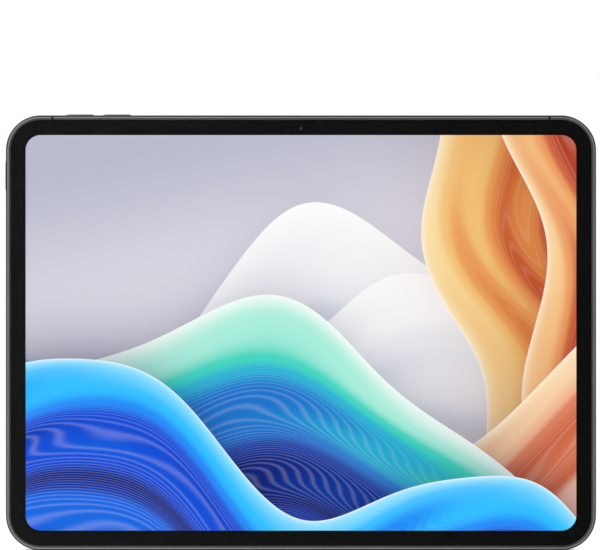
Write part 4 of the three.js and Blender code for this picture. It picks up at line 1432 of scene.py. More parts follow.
@dataclass
class Housing:
    """The metal housing, milled from one block, with its antenna breaks."""

    edge_round: float = 0.6
    rear_round: float = 0.5
    rear_chamfer: float = 1.0
    # How many degrees short of a quarter turn the rear round stops, where the chamfer begins
    rear_slope: float = 6.0
    rear_drop: float = 0.14
    rear_land: float = 0.02
    front_rim: float = 1.35
    rear_rim: float = 2.0
    wall: float = 3.2
    back_plate: float = 1.0
    strip_height: float = 39.3
    strip_corner: float = 1.8
    window_ledge: float = 1.35
    lip_chamfer: float = 0.12
    key_shoulder: float = 1.4
    key_lip: float = 0.45
    sound_hole: float = 0.55
    sound_pitch: float = 2.3
    sound_holes: int = 6
    boss: float = 2.1
    screw_hole: float = 0.8
    insert_width: float = 1.1
    insert_reach: float = 2.3
    fine_chamfer: float = 0.1
    port_chamfer: float = 0.22
    tray_chamfer: float = 0.05

    def __post_init__(self) -> None:
        """Works out the depths that depend on the frame."""
        self.back = Body.thickness
        self.ledge = depths_of("front_gasket")[1] + BOND
        self.floor = self.back - self.back_plate
        self.strip_seat = depths_of("rear_glass_strip")[0] - BOND

    def strip_outline(self, inset: float) -> Outline:
        """The outline of the rear strip's opening, brought in all round.

        Args:
            inset: How far it is brought in.

        Returns:
            The outline.
        """
        inner = Body.rect.inset(self.rear_rim)
        bottom = Body.rect.top - self.strip_height
        rect = Rect(inner.left, inner.right, bottom, inner.top).inset(inset)
        lower = max(self.strip_corner - inset, self.strip_corner / 3)
        return rect.rounded(Body.corner - self.rear_rim - inset, lower)

    def section(self) -> list[Step]:
        """The body's section: a front face with painted light, round edges with painted shade, and a
        polished chamfer behind.

        Returns:
            The section's steps.
        """
        front = self.edge_round
        rear = self.rear_round
        shoulder = self.back - self.rear_drop
        return [
            # The front face takes the rim's lighter copy, painted light; both rounds take the edge's
            # dark copy, painted shade
            Step(front, 0.0, 2),
            *bend((front, front), front, 270, 180, 3)[1:],
            Step(0.0, shoulder - rear),
            *bend((rear, shoulder - rear), rear, 180, 90 + self.rear_slope, 3)[1:],
            Step(rear + self.rear_chamfer, self.back, 1),
            Step(rear + self.rear_chamfer + self.rear_land, self.back, 0),
        ]

    def recesses(self) -> list[Part]:
        """Cutters for the glass, the inside, the strip and its window.

        Returns:
            The cutters.
        """
        def body_cut(steps: list[Step]) -> Part:
            """A cutter with the body's outline."""
            return Part.tool().loft(Body.face, Body.outline, steps)

        def strip_cut(steps: list[Step]) -> Part:
            """A cutter with the strip's outline."""
            return Part.tool().loft(Body.face, self.strip_outline, steps)

        lip = self.lip_chamfer
        rim = self.front_rim
        return [
            # The glass recess's lip takes the edge's dark copy: painted shade in the gap beside the
            # glass
            body_cut(
                [Step(rim - lip - PAST, -PAST, 3), Step(rim, lip, 3), Step(rim, self.ledge)]
            ),
            body_cut([Step(self.wall, self.ledge - PAST / 2), Step(self.wall, self.floor)]),
            strip_cut(
                [
                    Step(0.0, self.strip_seat),
                    Step(0.0, self.back - lip),
                    Step(-lip - PAST, self.back + PAST, 1),
                ]
            ),
            strip_cut(
                [Step(self.window_ledge, self.floor - PAST / 2), Step(self.window_ledge, self.back)]
            ),
        ]

    def key_slots(self) -> list[Part]:
        """Cutters for the keys and for the flanges behind them.

        Returns:
            The cutters.
        """
        cutters = []
        for node, edge in KEYS.items():
            seat = key_seat(node, edge)
            length, height = key_size(node, edge)
            slot = Rect.sized(length + 2 * SLIDING, height + 2 * SLIDING)
            play = 2 * (self.key_lip + SLIDING)
            flange = Rect.sized(length + play, height + play)
            shoulder = -self.key_shoulder
            cutters += [
                Part.tool().loft(
                    seat,
                    lambda grow, slot=slot: slot.inset(-grow).pill(),
                    flared(0.0, self.fine_chamfer, shoulder - BOND),
                ),
                Part.tool().loft(
                    seat,
                    lambda grow, flange=flange: flange.corners(),
                    [Step(0, shoulder), Step(0, -self.wall - PAST)],
                ),
            ]
        return cutters

    def sound_cutters(self) -> list[Part]:
        """Cutters for the four rows of sound holes.

        Returns:
            The cutters.
        """
        cutters = []
        through = -self.wall - PAST
        for side, edge in (("left", Edge.LEFT), ("right", Edge.RIGHT)):
            for level in ("lower", "upper"):
                middle = middle_of(f"speaker_{side}_{level}").z
                for i in range(self.sound_holes):
                    along = middle + (i - (self.sound_holes - 1) / 2) * self.sound_pitch
                    steps = flared(0.0, self.fine_chamfer, through, self.sound_hole)
                    cutters.append(Part.tool().loft(edge.seat(along), hole, steps))
        return cutters

    def side_openings(self) -> list[Part]:
        """Cutters for the port, and for the card tray's head and plate.

        Returns:
            The cutters.
        """
        port = Rect.sized(*Port().outer(2 * FIT))
        tray = CardTray()
        head = Rect.sized(tray.head_length + 2 * SLIDING, tray.head_height + 2 * SLIDING)
        rod = box_of("eject_rod")[0]
        through = (Body.half_width - self.wall - PAST, Body.half_width - tray.head_depth)
        depths = (Body.depth(rod.y) - SLIDING, tray.plate_back() + SLIDING)
        heights = (rod.z - SLIDING, tray.plate_top() + SLIDING)
        return [
            Part.tool().loft(
                Edge.RIGHT.seat(Port().middle()),
                lambda grow: port.inset(-grow).pill(),
                flared(0.0, self.port_chamfer, -self.wall - PAST),
            ),
            Part.tool().loft(
                Edge.RIGHT.seat(tray.head_middle()),
                lambda grow: head.inset(-grow).rounded(tray.head_height / 2 + grow),
                flared(0.0, self.tray_chamfer, -tray.head_depth - BOND),
            ),
            Part.tool().block(
                (through[0], depths[0], heights[0]), (through[1] + BOND / 2, depths[1], heights[1])
            ),
        ]

    def bosses(self, body: Part) -> None:
        """Stands the screws' bosses on the floor, with their holes.

        Args:
            body: The housing while it is milled.
        """
        for screw in SCREWS:
            middle = middle_of(screw)
            seat = Body.behind(middle.x, middle.z)
            top = depths_of(screw)[1]
            foot = self.floor + self.back_plate / 2
            board = "main_board" if screw.startswith("board") else "port_board"
            seating = depths_of(board)[1] + BOND
            body.join(Part.tool().loft(seat, hole, [Step(self.boss, seating), Step(self.boss, foot)]))
            end = max(top + FIT, self.floor + self.back_plate / 4)
            steps = [Step(self.screw_hole, seating - PAST), Step(self.screw_hole, end)]
            body.cut(Part.tool().loft(seat, hole, steps))

    def build(self) -> None:
        """Mills the housing and fits the antenna breaks."""
        # Finishes by number: blasted metal, polished chamfer, the rim's lighter copy with painted light,
        # the edge's dark copy with painted shade
        body = Part(
            "rear_housing_shell", Finishes.blasted, Finishes.chamfer, Finishes.rim, Finishes.edge
        )
        body.loft(Body.face, Body.outline, self.section())
        body.cut(*self.recesses(), *self.key_slots(), *self.sound_cutters(), *self.side_openings())
        self.bosses(body)
        for side in ("left", "right"):
            node = f"antenna_insert_{side}"
            x = middle_of(node).x
            half = self.insert_width / 2
            foot = Body.rect.top - self.insert_reach
            filling = body.copy(f"{node}_moulding", *[Finishes.insert] * 4)
            filling.keep_within(
                Part.tool().block(
                    (x - half + BOND, -PAST, foot + BOND),
                    (x + half - BOND, self.back + PAST, Body.rect.top + PAST),
                )
            )
            filling.stand_for(node, "insert_plastic")
            body.cut(
                Part.tool().block(
                    (x - half, -PAST, foot), (x + half, self.back + PAST, Body.rect.top + PAST)
                )
            )
        body.stand_for("rear_housing", "case_metal")


# ---------------------------------------------------------------- front


@dataclass
class FrontCover:
    """The cover glass with its curved edge, and the black border printed behind it."""

    glass_inset: float = 1.7
    curve_width: float = 0.9
    curve_drop: float = 0.22
    back_chamfer: float = 0.06
    mask_inset: float = 2.1
    border: float = 8.5
    window_corner: float = 6.5
    camera_window: float = 0.9

    def glass(self) -> None:
        """The glass plate, whose face curves down towards its edge."""
        front, back = depths_of("front_glass")
        inset, chamfer = self.glass_inset, self.back_chamfer
        reach = (self.curve_width, self.curve_drop)
        curve = bend((inset + reach[0], front + reach[1]), reach, 270, 180)
        steps = [*curve, Step(inset, back - chamfer), Step(inset + chamfer, back)]
        Part("cover_glass_plate", Finishes.cover).loft(Body.face, Body.outline, steps).stand_for(
            "front_glass", "cover_glass"
        )

    def border_ink(self) -> None:
        """The printed border, with the screen's window and the front camera's."""
        front, back = depths_of("bezel_mask")
        window = Body.rect.inset(self.border)
        ends = [Step(0, front - PAST), Step(0, back + PAST)]
        lens = middle_of("front_camera_lens")
        camera = Body.behind(lens.x, lens.z)
        Part("border_ink_frame", Finishes.ink).loft(
            Body.face, Body.outline, [Step(self.mask_inset, front), Step(self.mask_inset, back)]
        ).cut(
            Part.tool().loft(Body.face, lambda size: window.rounded(self.window_corner), ends),
            Part.tool().loft(camera, lambda size: hole(self.camera_window), ends),
        ).stand_for("bezel_mask", "mask_ink")

    def build(self) -> None:
        """Makes the glass and the border."""
        self.glass()
        self.border_ink()


@dataclass
class FrontCamera:
    """The small lens behind the border, above the screen."""

    dome: float = 0.2
    # How many degrees short of its pole the dome stops
    pole_gap: float = 2.0

    def build(self) -> None:
        """Makes the domed lens."""
        middle = middle_of("front_camera_lens")
        seat = Body.behind(middle.x, middle.z)
        radius = box_of("front_camera_lens")[1].x - middle.x
        front, back = depths_of("front_camera_lens")
        steps = [
            *bend((0.0, front + self.dome), (radius, self.dome), 270 - self.pole_gap, 360),
            Step(radius, back),
            Step(AXIS, back),
        ]
        Part("front_camera_lens_dome", Finishes.front_lens).turned(seat, steps).stand_for(
            "front_camera_lens", "lens_glass"
        )


# ---------------------------------------------------------------- rear


@dataclass
class RearStrip:
    """The black glass strip along the top of the rear."""

    gap: float = 0.15
    curve: float = 0.3
    camera_gap: float = 0.2
    chamfer: float = 0.1

    def build(self) -> None:
        """Makes the strip with its rounded edge and the camera's hole."""
        front, back = depths_of("rear_glass_strip")
        curve = self.curve
        steps = [
            Step(self.gap + self.chamfer, front),
            Step(self.gap, front + self.chamfer),
            *bend((self.gap + curve, back - curve), curve, 180, 90),
        ]
        camera = RearCamera()
        opening = camera.ring_radius() + self.camera_gap
        cutter = [
            Step(opening, front - PAST),
            Step(opening, back - self.chamfer),
            Step(opening + self.chamfer + PAST, back + PAST),
        ]
        strip = Part("rear_strip_plate", Finishes.strip)
        strip.loft(Body.face, Housing().strip_outline, steps)
        strip.cut(Part.tool().loft(camera.seat(), circle, cutter))
        strip.stand_for("rear_glass_strip", "rear_glass")


@dataclass
class RearCamera:
    """The rear camera: its ring, cover glass, ribbed cone, barrel and lens."""

    flange: float = 1.2
    flange_thickness: float = 0.55
    ring_round: float = 0.3
    land_width: float = 1.25
    land_bevel: float = 0.1
    land_drop: float = 0.06
    groove: float = 0.12
    groove_lean: float = 0.08
    shelf_width: float = 0.22
    shelf_edge: float = 0.04
    cover_gap: float = 0.1
    cover_sunk: float = 0.45
    cover_ledge: float = 0.4
    cover_chamfer: float = 0.12
    stop_lip: float = 0.9
    cone_rings: int = 7
    cone_rib: float = 0.05
    cone_wall: float = 0.25
    cone_rim: float = 0.15
    cone_play: float = 0.5
    barrel_round: float = 0.12
    barrel_step: float = 0.45
    barrel_bevel: float = 0.05
    well_chamfer: float = 0.2
    # As shares of the cone's rise and of the lens's height
    stop_height: float = 0.28
    bore_height: float = 0.4
    lens_wall: float = 0.55
    # How many degrees short of its pole the lens's dome stops
    pole_gap: float = 1.0

    def seat(self) -> Seat:
        """The seat on the camera's axis."""
        middle = middle_of("camera_cover_glass")
        return Body.behind(middle.x, middle.z)

    def ring_radius(self) -> float:
        """The radius of the ring's outer wall, inside its flange."""
        return (box_of("camera_ring")[1].x - middle_of("camera_ring").x) - self.flange

    def cover_radius(self) -> float:
        """The radius of the cover glass."""
        return box_of("camera_cover_glass")[1].x

    def ring(self) -> None:
        """The stepped ring: a bright turned land, a dark slope and a thin bright shelf."""
        bottom, top = depths_of("camera_ring")
        outer, inner = self.ring_radius(), self.cover_radius() + self.cover_gap
        bore = self.cover_radius() - self.cover_ledge
        lip = bore - self.stop_lip
        glass_seat = depths_of("camera_cover_glass")[0] - BOND
        cone_back, cone_front = depths_of("camera_cone")
        cone_rise = cone_front - cone_back
        land_outer = outer - self.ring_round
        land_inner = land_outer - self.land_width
        shelf, edge = top - self.cover_sunk, self.shelf_edge
        steps = [
            Step(lip, bottom, 2),
            Step(outer + self.flange, bottom, 2),
            Step(outer + self.flange, bottom + self.flange_thickness, 2),
            Step(outer, bottom + self.flange_thickness, 2),
            *bend((land_outer, top - self.ring_round), self.ring_round, 0, 90, 1),
            Step(land_inner + self.land_bevel, top, 0),
            Step(land_inner, top - self.land_drop, 1),
            Step(land_inner - self.groove_lean, top - self.groove, 2),
            Step(inner + self.shelf_width, shelf + edge, 2),
            Step(inner + self.shelf_width - edge, shelf),
            Step(inner + edge / 2, shelf),
            Step(inner, shelf - edge, 1),
            Step(inner, glass_seat, 2),
            Step(bore, glass_seat, 2),
            Step(bore, cone_back + cone_rise * self.bore_height, 2),
            Step(lip, cone_back + cone_rise * self.stop_height, 2),
        ]
        Part("camera_ring_turning", Finishes.ring, Finishes.ring_edge, Finishes.ring_dark).turned(
            self.seat(), steps, looped=True
        ).stand_for("camera_ring", "camera_metal")

    def cover(self) -> None:
        """The round cover glass with a small chamfer."""
        front, back = depths_of("camera_cover_glass")
        radius, chamfer = self.cover_radius(), self.cover_chamfer
        steps = [
            Step(radius - chamfer / 2, front),
            Step(radius, front + chamfer / 2),
            Step(radius, back - chamfer),
            Step(radius - chamfer, back),
        ]
        Part("camera_cover_disc", Finishes.lens_cover).turned(self.seat(), steps).stand_for(
            "camera_cover_glass", "cover_glass"
        )

    def cone(self) -> None:
        """The shallow cone behind the glass, with low ribs round it."""
        back, front = depths_of("camera_cone")
        rim = box_of("camera_cone")[1].x
        inner = LENS_RADIUS + self.cone_play
        outer = rim - BOND
        wall = self.cone_wall
        rise = front - back - wall
        profile = (1, 0.5, 0, 0.5)
        count = self.cone_rings * len(profile)
        face = []
        for i in range(count + 1):
            share = i / count
            rib = self.cone_rib * profile[i % len(profile)]
            size = outer - (outer - inner) * share
            face.append(Step(size, back + wall - rib + rise * (1 - share)))
        edge = back + rise
        steps = [Step(inner, back), Step(rim, edge), Step(rim, edge + self.cone_rim), *face]
        Part("camera_cone_turning", Finishes.cone).turned(self.seat(), steps, looped=True).stand_for(
            "camera_cone", "cone_metal"
        )

    def barrel(self) -> None:
        """The lens barrel, with two stepped rings round the lens."""
        bottom, top = depths_of("camera_barrel")
        outer = box_of("camera_barrel")[1].x
        turn, step = self.barrel_round, self.barrel_step
        well = LENS_RADIUS + FIT
        floor = depths_of("camera_lens")[0] - BOND
        steps = [
            Step(AXIS, bottom),
            Step(outer, bottom),
            *bend((outer - turn, top - turn), turn, 0, 90),
            Step(well + step + self.barrel_bevel, top),
            Step(well + step, top - turn),
            Step(well + turn, top - turn),
            Step(well, top - self.well_chamfer),
            Step(well, floor),
            Step(AXIS, floor),
        ]
        Part("camera_barrel_turning", Finishes.ring_dark).turned(self.seat(), steps).stand_for(
            "camera_barrel", "black_plastic"
        )

    def lens(self) -> None:
        """The domed front lens."""
        bottom, top = depths_of("camera_lens")
        wall = bottom + (top - bottom) * self.lens_wall
        steps = [
            Step(AXIS, bottom),
            Step(LENS_RADIUS, bottom),
            *bend((0.0, wall), (LENS_RADIUS, top - wall), 0, 90 - self.pole_gap, steps=DOME_STEPS),
        ]
        Part("camera_lens_dome", Finishes.lens).turned(self.seat(), steps).stand_for(
            "camera_lens", "lens_glass"
        )

    def build(self) -> None:
        """Makes the camera's pieces."""
        self.ring()
        self.cover()
        self.cone()
        self.barrel()
        self.lens()


# ---------------------------------------------------------------- edges


def key_seat(node: str, edge: Edge) -> Seat:
    """The seat of a key on its side face."""
    middle = middle_of(node)
    return edge.seat(middle.x if edge is Edge.TOP else middle.z)


def key_size(node: str, edge: Edge) -> Point:
    """A key's length and height, inside the lip of its flange.

    Args:
        node: The key.
        edge: The side face that it is on.

    Returns:
        The length and the height of its cap.
    """
    low, high = box_of(node)
    length = high.x - low.x if edge is Edge.TOP else high.z - low.z
    lip = 2 * Housing.key_lip
    return length - lip, high.y - low.y - lip


@dataclass
class SideKeys:
    """The power key and the two volume keys."""

    edge_round: float = 0.32
    crown: float = 0.05
    crown_width: float = 0.3
    flange: float = 0.5
    flange_corner: float = 0.3
    nub_radius: float = 0.8

    def key(self, node: str, edge: Edge) -> None:
        """Makes one key: a crowned cap, the flange that holds it in, and the nub behind.

        Args:
            node: The key's node.
            edge: The side face that it is on.
        """
        low, high = box_of(node)
        length, height = key_size(node, edge)
        seat = key_seat(node, edge)
        outward = Vector(seat.out)
        top = max(low.dot(outward), high.dot(outward)) - Vector(seat.origin).dot(outward)
        end = min(low.dot(outward), high.dot(outward)) - Vector(seat.origin).dot(outward)
        flange_outer = -Housing.key_shoulder - BOND
        flange_inner = flange_outer - self.flange
        cap = Rect.sized(length, height)
        wide = Rect.sized(length + 2 * Housing.key_lip, height + 2 * Housing.key_lip)
        turn = self.edge_round
        steps = [
            Step(0, flange_inner),
            *bend((turn, top - turn - self.crown), turn, 180, 90),
            Step(turn + self.crown_width, top),
        ]
        key = Part(f"{node}_cap", Finishes.key)
        key.loft(seat, lambda inset: cap.inset(inset).pill(), steps)
        flange = Part.tool().loft(
            seat,
            lambda inset: wide.rounded(self.flange_corner, steps=SMALL_STEPS),
            [Step(0, flange_inner), Step(0, flange_outer)],
        )
        nub = [Step(self.nub_radius, end), Step(self.nub_radius, flange_inner + FIT)]
        key.join(flange, Part.tool().loft(seat, hole, nub))
        key.stand_for(node, "edge_metal")

    def build(self) -> None:
        """Makes the three keys."""
        for node, edge in KEYS.items():
            self.key(node, edge)


@dataclass
class Port:
    """The USB-C receptacle: a drawn steel shell, and the tongue with its contacts."""

    wall: float = 0.3
    mouth_round: float = 0.12
    contacts: int = 12
    contact_pitch: float = 0.5
    contact_width: float = 0.28
    contact_length: float = 3.2
    contact_height: float = 0.03
    contact_sunk: float = 0.4
    base_depth: float = 1.4
    base_chamfer: float = 0.1
    blade_width: float = 6.7
    blade_height: float = 0.7
    blade_corner: float = 0.3
    blade_root: float = 1.0
    tip_taper: Point = (0.12, 0.15)

    def outer(self, grow: float = 0.0) -> Point:
        """The width and height of the shell, grown by a clearance."""
        low, high = box_of("usb_c_shell")
        return high.z - low.z + grow, high.y - low.y + grow

    def middle(self) -> float:
        """The port's place along the side face."""
        return middle_of("usb_c_shell").z

    def shell(self) -> None:
        """The shell with its rolled mouth."""
        low, high = box_of("usb_c_shell")
        seat = Edge.RIGHT.seat(self.middle())
        mouth, back = high.x - Body.half_width, low.x - Body.half_width
        rect = Rect.sized(*self.outer())
        turn = self.mouth_round
        steps = [
            Step(0, back),
            *bend((turn, mouth - turn), turn, 180, 90, steps=SMALL_STEPS),
            *bend((self.wall - turn / 2, mouth - turn), turn, 90, 0, steps=SMALL_STEPS),
            Step(self.wall, back + self.wall),
        ]
        Part("usb_c_shell_drawing", Finishes.port).loft(
            seat, lambda inset: rect.inset(inset).pill(), steps
        ).stand_for("usb_c_shell", "port_metal")

    def tongue(self) -> None:
        """The moulded tongue, and the gold contacts on both its faces."""
        low, high = box_of("usb_c_tongue")
        seat = Edge.RIGHT.seat(self.middle())
        tip, back = high.x - Body.half_width, low.x - Body.half_width
        width, height = high.z - low.z, high.y - low.y
        base = Rect.sized(width, height)
        blade = Rect.sized(self.blade_width, self.blade_height)
        face = back + self.base_depth
        steps = [Step(0, back), Step(0, face), Step(self.base_chamfer, face + self.base_chamfer)]
        tongue = Part("usb_c_tongue_moulding", Finishes.plastic)
        tongue.loft(seat, lambda inset: base.inset(inset).pill(), steps)
        taper, length = self.tip_taper
        steps = [Step(0, back + self.blade_root), Step(0, tip - length), Step(taper, tip)]
        tongue.join(
            Part.tool().loft(
                seat, lambda inset: blade.inset(inset).rounded(self.blade_corner - inset / 2), steps
            )
        )
        tongue.stand_for("usb_c_tongue", "black_plastic")
        contacts = Part("usb_c_contacts", Finishes.contact)
        end = high.x - self.contact_sunk
        start = end - self.contact_length
        half = blade.top
        for side in (-1, 1):
            near, far = sorted(
                Body.middle_depth + side * reach for reach in (half, half + self.contact_height)
            )
            for i in range(self.contacts):
                z = self.middle() + (i - (self.contacts - 1) / 2) * self.contact_pitch
                contacts.block(
                    (start, near, z - self.contact_width / 2), (end, far, z + self.contact_width / 2)
                )
        contacts.ride_with("usb_c_tongue")

    def build(self) -> None:
        """Makes the port's pieces."""
        self.shell()
        self.tongue()


@dataclass
class CardTray:
    """The card tray, with its flush head and the hole for the ejecting pin."""

    head_length: float = 14.4
    head_height: float = 2.0
    head_depth: float = 1.2
    head_round: float = 0.12
    plate_thickness: float = 1.2
    plate_width: float = 10.6
    plate_offset: float = 1.4
    plate_round: float = 0.15
    plate_corner: float = 1.0
    card_width: float = 9.2
    card_length: float = 12.6
    card_pocket: float = 0.8
    card_corner: float = 0.6
    card_margin: float = 2.0
    pin_hole: float = 0.45
    pin_chamfer: float = 0.12

    def head_middle(self) -> float:
        """The place of the head along the side face."""
        return box_of("card_tray")[0].z + self.head_length / 2

    def plate_back(self) -> float:
        """The depth of the rear of the plate."""
        rear = middle_of("eject_lever").y + self.plate_thickness / 2
        return Body.depth(rear)

    def plate_top(self) -> float:
        """The height of the upper edge of the plate."""
        return self.head_middle() + self.plate_offset + self.plate_width / 2

    def build(self) -> None:
        """Makes the tray."""
        low, high = box_of("card_tray")
        back = self.plate_back()
        front = back - self.plate_thickness
        middle = self.plate_top() - self.plate_width / 2
        turn = self.head_round
        head = Rect.sized(self.head_length, self.head_height)
        curve = bend((turn, -turn), turn, 180, 90, steps=SMALL_STEPS)
        corner = self.head_height / 2 - SLIDING
        tray = Part("card_tray_body", Finishes.blasted, Finishes.chamfer)
        tray.loft(
            Edge.RIGHT.seat(self.head_middle()),
            lambda inset: head.inset(inset).rounded(corner - inset),
            [Step(0, -self.head_depth), *curve],
        )
        half = self.plate_width / 2
        plate = Rect(low.x, high.x - self.head_depth / 2, middle - half, self.plate_top())
        turn = self.plate_round
        steps = [Step(turn, front), Step(0, front + turn), Step(0, back - turn), Step(turn, back)]
        tray.join(
            Part.tool().loft(
                Body.face,
                lambda inset: plate.inset(inset).rounded(self.plate_corner, steps=EDGE_STEPS),
                steps,
            )
        )
        start = low.x + self.card_margin
        half = self.card_width / 2
        pocket = Rect(start, start + self.card_length, middle - half, middle + half)
        tray.cut(
            Part.tool().loft(
                Body.face,
                lambda inset: pocket.rounded(self.card_corner, steps=EDGE_STEPS),
                [Step(0, front - PAST), Step(0, front + self.card_pocket)],
            ),
            Part.tool().loft(
                Edge.RIGHT.seat(middle_of("eject_rod").z),
                hole,
                flared(0.0, self.pin_chamfer, -self.head_depth - PAST, self.pin_hole),
            ),
        )
        tray.stand_for("card_tray", "case_metal")


# ---------------------------------------------------------------- inside


class Inside:
    """The pieces that keep the frame's own shapes, with a finish for each."""

    finishes: dict[Finish, tuple[str, ...]] = {
        Finishes.screen: ("display_cell",),
        Finishes.plastic: (
            "strip_carrier",
            "camera_module",
            "front_camera_module",
            "speaker_left_lower",
            "speaker_left_upper",
            "speaker_right_lower",
            "speaker_right_upper",
        ),
        Finishes.rubber: ("front_gasket",),
        Finishes.film: ("diffuser_sheet", "reflector_sheet"),
        Finishes.guide: ("light_guide",),
        Finishes.phosphor: ("led_strip",),
        Finishes.steel: (
            "backlight_pan",
            "processor_shield",
            "power_shield",
            "power_switch_body",
            "volume_up_switch_body",
            "volume_down_switch_body",
            "volume_key_bracket",
            "power_key_bracket",
            "card_socket",
            "eject_rod",
            "eject_lever",
        ),
        Finishes.white_plastic: (
            "power_switch_plunger",
            "volume_up_switch_plunger",
            "volume_down_switch_plunger",
        ),
        Finishes.flex: ("display_flex", "interconnect_flex", "volume_key_flex", "power_key_flex"),
        Finishes.board: ("main_board", "port_board"),
        Finishes.screw: SCREWS,
        Finishes.pouch: ("battery_cell_left", "battery_cell_right"),
        Finishes.wrap: ("battery_board",),
        Finishes.graphite: ("graphite_sheet",),
    }

    def build(self) -> None:
        """Gives each node its finish."""
        for finish, names in self.finishes.items():
            for name in names:
                mesh = frame["nodes"][name].data
                mesh.materials.clear()
                mesh.materials.append(finish.material())
                LOG.info("%s: %s", name, finish.name)


# ---------------------------------------------------------------- studio


@dataclass(frozen=True)
class Glow:
    """A soft patch of light in the studio's surroundings, with its half width and height as angles."""

    direction: Triple
    width: float
    height: float
    strength: float

    def light(self, shader: Shader, view: Socket) -> Socket:
        """The light that the patch sends from a direction.

        Args:
            shader: The world's nodes.
            view: The direction.

        Returns:
            The strength of the light.
        """
        towards = Vector(self.direction).normalized()
        side = towards.cross(Vector((0, 0, 1))).normalized()
        fall: Value = 0.0
        for axis, spread in ((side, self.width), (side.cross(towards), self.height)):
            off = shader.vector("DOT_PRODUCT", view, tuple(axis)) / math.sin(math.radians(spread))
            fall = off * off + fall
        facing = shader.fade(shader.vector("DOT_PRODUCT", view, tuple(towards)), 0.0, 0.3)
        return shader.math("EXPONENT", fall * -1.0) * facing * self.strength


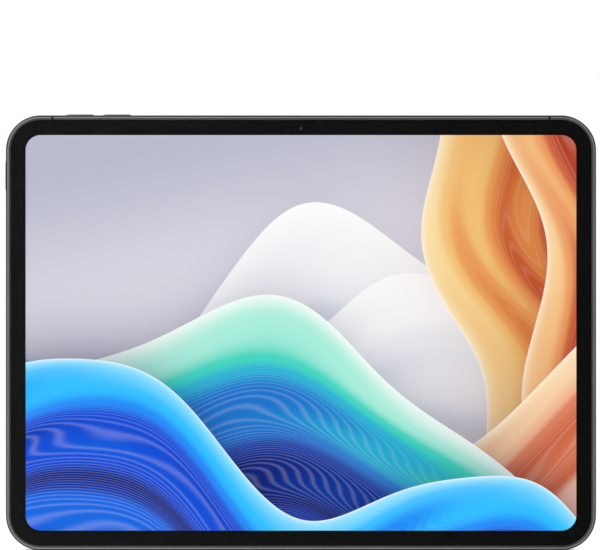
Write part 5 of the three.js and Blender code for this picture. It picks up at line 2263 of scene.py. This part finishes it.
@dataclass
class Studio:
    """The camera, the pale floor and the soft light."""

    field_width: float = 259.3
    camera_distance: float = 1600.0
    aim: Point = (-0.43, 119.0)
    sensor: float = 36.0
    clip: Point = (10.0, 20000.0)
    floor_radius: float = 420.0
    floor_thickness: float = 5.0
    floor_drop: float = 0.02
    floor_fade: Point = (120.0, 400.0)
    floor_tones: tuple[Rgb, Rgb] = ((232, 232, 233), (240, 240, 241))
    floor_roughness: float = 0.7
    floor_grain: float = 3.0
    floor_relief: float = 0.02
    # Between these two heights of its direction, a reflection from below turns white
    white_below: Point = (-0.15, -0.45)
    lamps: tuple[tuple[str, Triple], ...] = (
        ("front_key", (-900.0, -1000.0, 1200.0)),
        ("rear_key", (900.0, 1000.0, 1200.0)),
    )
    lamp_size: float = 800.0
    lamp_power: float = 18.0
    ambient: float = 0.045
    glows: tuple[Glow, ...] = (
        # From the front, for the glass and the side faces
        Glow((-0.18, -1.0, 0.0), 15, 40, 0.55),
        Glow((-1.0, -0.1, 0.4), 14, 34, 1.5),
        Glow((1.0, -0.1, 0.35), 14, 34, 1.2),
        # The streak on the rear strip, and the softer light on both sides of it
        Glow((0.0185, 1.0, 0.0), 1.15, 14, 4.6),
        Glow((0.26, 1.0, 0.0), 8.5, 45, 0.9),
        Glow((-0.28, 1.0, 0.0), 4, 30, 0.6),
        # From behind, for the blasted metal and the camera's rings
        Glow((0.0, 1.0, 0.3), 40, 4, 0.6),
        Glow((0.19, 1.0, 0.19), 5, 5, 3.2),
        Glow((-0.19, 1.0, -0.17), 5, 5, 2.0),
        Glow((0.5, 1.0, 0.4), 13, 13, 6.5),
        Glow((0.45, 1.0, 0.5), 8, 8, 5.0),
        Glow((-0.45, 1.0, 0.5), 7, 7, 2.4),
        Glow((-0.5, 1.0, -0.45), 7, 7, 4.0),
        # From both sides and from above
        Glow((1.0, 0.45, 0.5), 20, 30, 1.2),
        Glow((-1.0, 0.45, 0.3), 18, 30, 0.9),
        Glow((0.0, 0.1, 1.0), 26, 26, 1.0),
    )

    def camera(self) -> None:
        """Stands a long-lens camera straight in front of the screen."""
        data = bpy.data.cameras.new("camera")
        data.sensor_width = self.sensor
        data.lens = self.sensor * self.camera_distance / self.field_width
        data.clip_start, data.clip_end = (distance * MM for distance in self.clip)
        camera = bpy.data.objects.new("camera", data)
        camera.location = Vector((self.aim[0], Body.low.y - self.camera_distance, self.aim[1])) * MM
        camera.rotation_euler = (math.radians(90), 0.0, 0.0)
        bpy.context.scene.collection.objects.link(camera)
        bpy.context.scene.camera = camera

    def floor(self) -> None:
        """Lays a pale round floor that fades into the white ground.

        Metal and glass show the white of the surroundings in its place.
        """
        floor = Part("floor")
        seat = Seat((0.0, 0.0, 0.0), (1, 0, 0), (0, 1, 0), (0, 0, 1))
        heights = (-self.floor_thickness, -self.floor_drop)
        floor.loft(seat, circle, [Step(self.floor_radius, height) for height in heights])
        material = bpy.data.materials.new("floor_paint")
        shader = Shader(material)
        place = shader.place()
        radius = shader.vector("LENGTH", shader.stretched(place, 1.0, 1.0, 0.0))
        grain = shader.noise(place, self.floor_grain, 2.0)
        shader.surface(
            {
                "Base Color": shader.mix(grain, *map(linear, self.floor_tones)),
                "Roughness": self.floor_roughness,
                "Normal": shader.bump(grain, self.floor_relief),
            }
        )
        glow = shader.node("ShaderNodeEmission", {}, {"Color": WHITE})
        direct, _ = shader.rays()
        far = shader.fade(radius, *self.floor_fade)
        paint = Socket(shader, shader.tree.nodes["Principled BSDF"].outputs[0])
        mixed = shader.node("ShaderNodeMixShader", {}, {0: far * direct, 1: paint, 2: glow})
        shader.feed(shader.tree.nodes["Material Output"].inputs["Surface"], mixed)
        floor.piece.data.materials.append(material)
        floor.piece.visible_glossy = False
        floor.piece.visible_transmission = False

    def surroundings(self) -> None:
        """Sets the soft light all round, and the white that the camera sees behind."""
        world = bpy.data.worlds.new("studio")
        bpy.context.scene.world = world
        shader = Shader(world)
        view = shader.node("ShaderNodeTexCoord", output="Generated")
        light: Value = self.ambient
        for glow in self.glows:
            light = glow.light(shader, view) + light
        _, _, height = shader.parts(view)
        direct, bounced = shader.rays()
        seen = shader.clamp(direct + bounced * shader.fade(height, *self.white_below))
        studio = shader.node("ShaderNodeCombineXYZ", {}, {0: light, 1: light, 2: light})
        colour = shader.mix(seen, studio, WHITE)
        shader.feed(world.node_tree.nodes["Background"].inputs["Color"], colour)

    def lamp(self, name: str, place: Triple) -> None:
        """Hangs one square soft lamp there, aimed at the middle of the tablet.

        Args:
            name: The lamp's name.
            place: Where it hangs.
        """
        data = bpy.data.lights.new(name, "AREA")
        data.size = self.lamp_size * MM
        data.energy = self.lamp_power
        lamp = bpy.data.objects.new(name, data)
        lamp.location = Vector(place) * MM
        aim = Vector((0.0, 0.0, Body.rect.top / 2)) - Vector(place)
        lamp.rotation_euler = aim.to_track_quat("-Z", "Y").to_euler()
        bpy.context.scene.collection.objects.link(lamp)

    def build(self) -> None:
        """Sets up the whole studio."""
        self.camera()
        self.floor()
        self.surroundings()
        for name, place in self.lamps:
            self.lamp(name, place)
        bpy.context.scene.view_settings.view_transform = "Standard"


def main() -> None:
    """Builds the studio and every part of the tablet."""
    logging.basicConfig(level=logging.INFO, format="%(name)s: %(message)s")
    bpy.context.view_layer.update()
    for part in (
        Studio(),
        Housing(),
        FrontCover(),
        FrontCamera(),
        RearStrip(),
        RearCamera(),
        SideKeys(),
        Port(),
        CardTray(),
        Inside(),
    ):
        LOG.info("building %s", type(part).__name__)
        part.build()


if __name__ == "__main__":
    main()
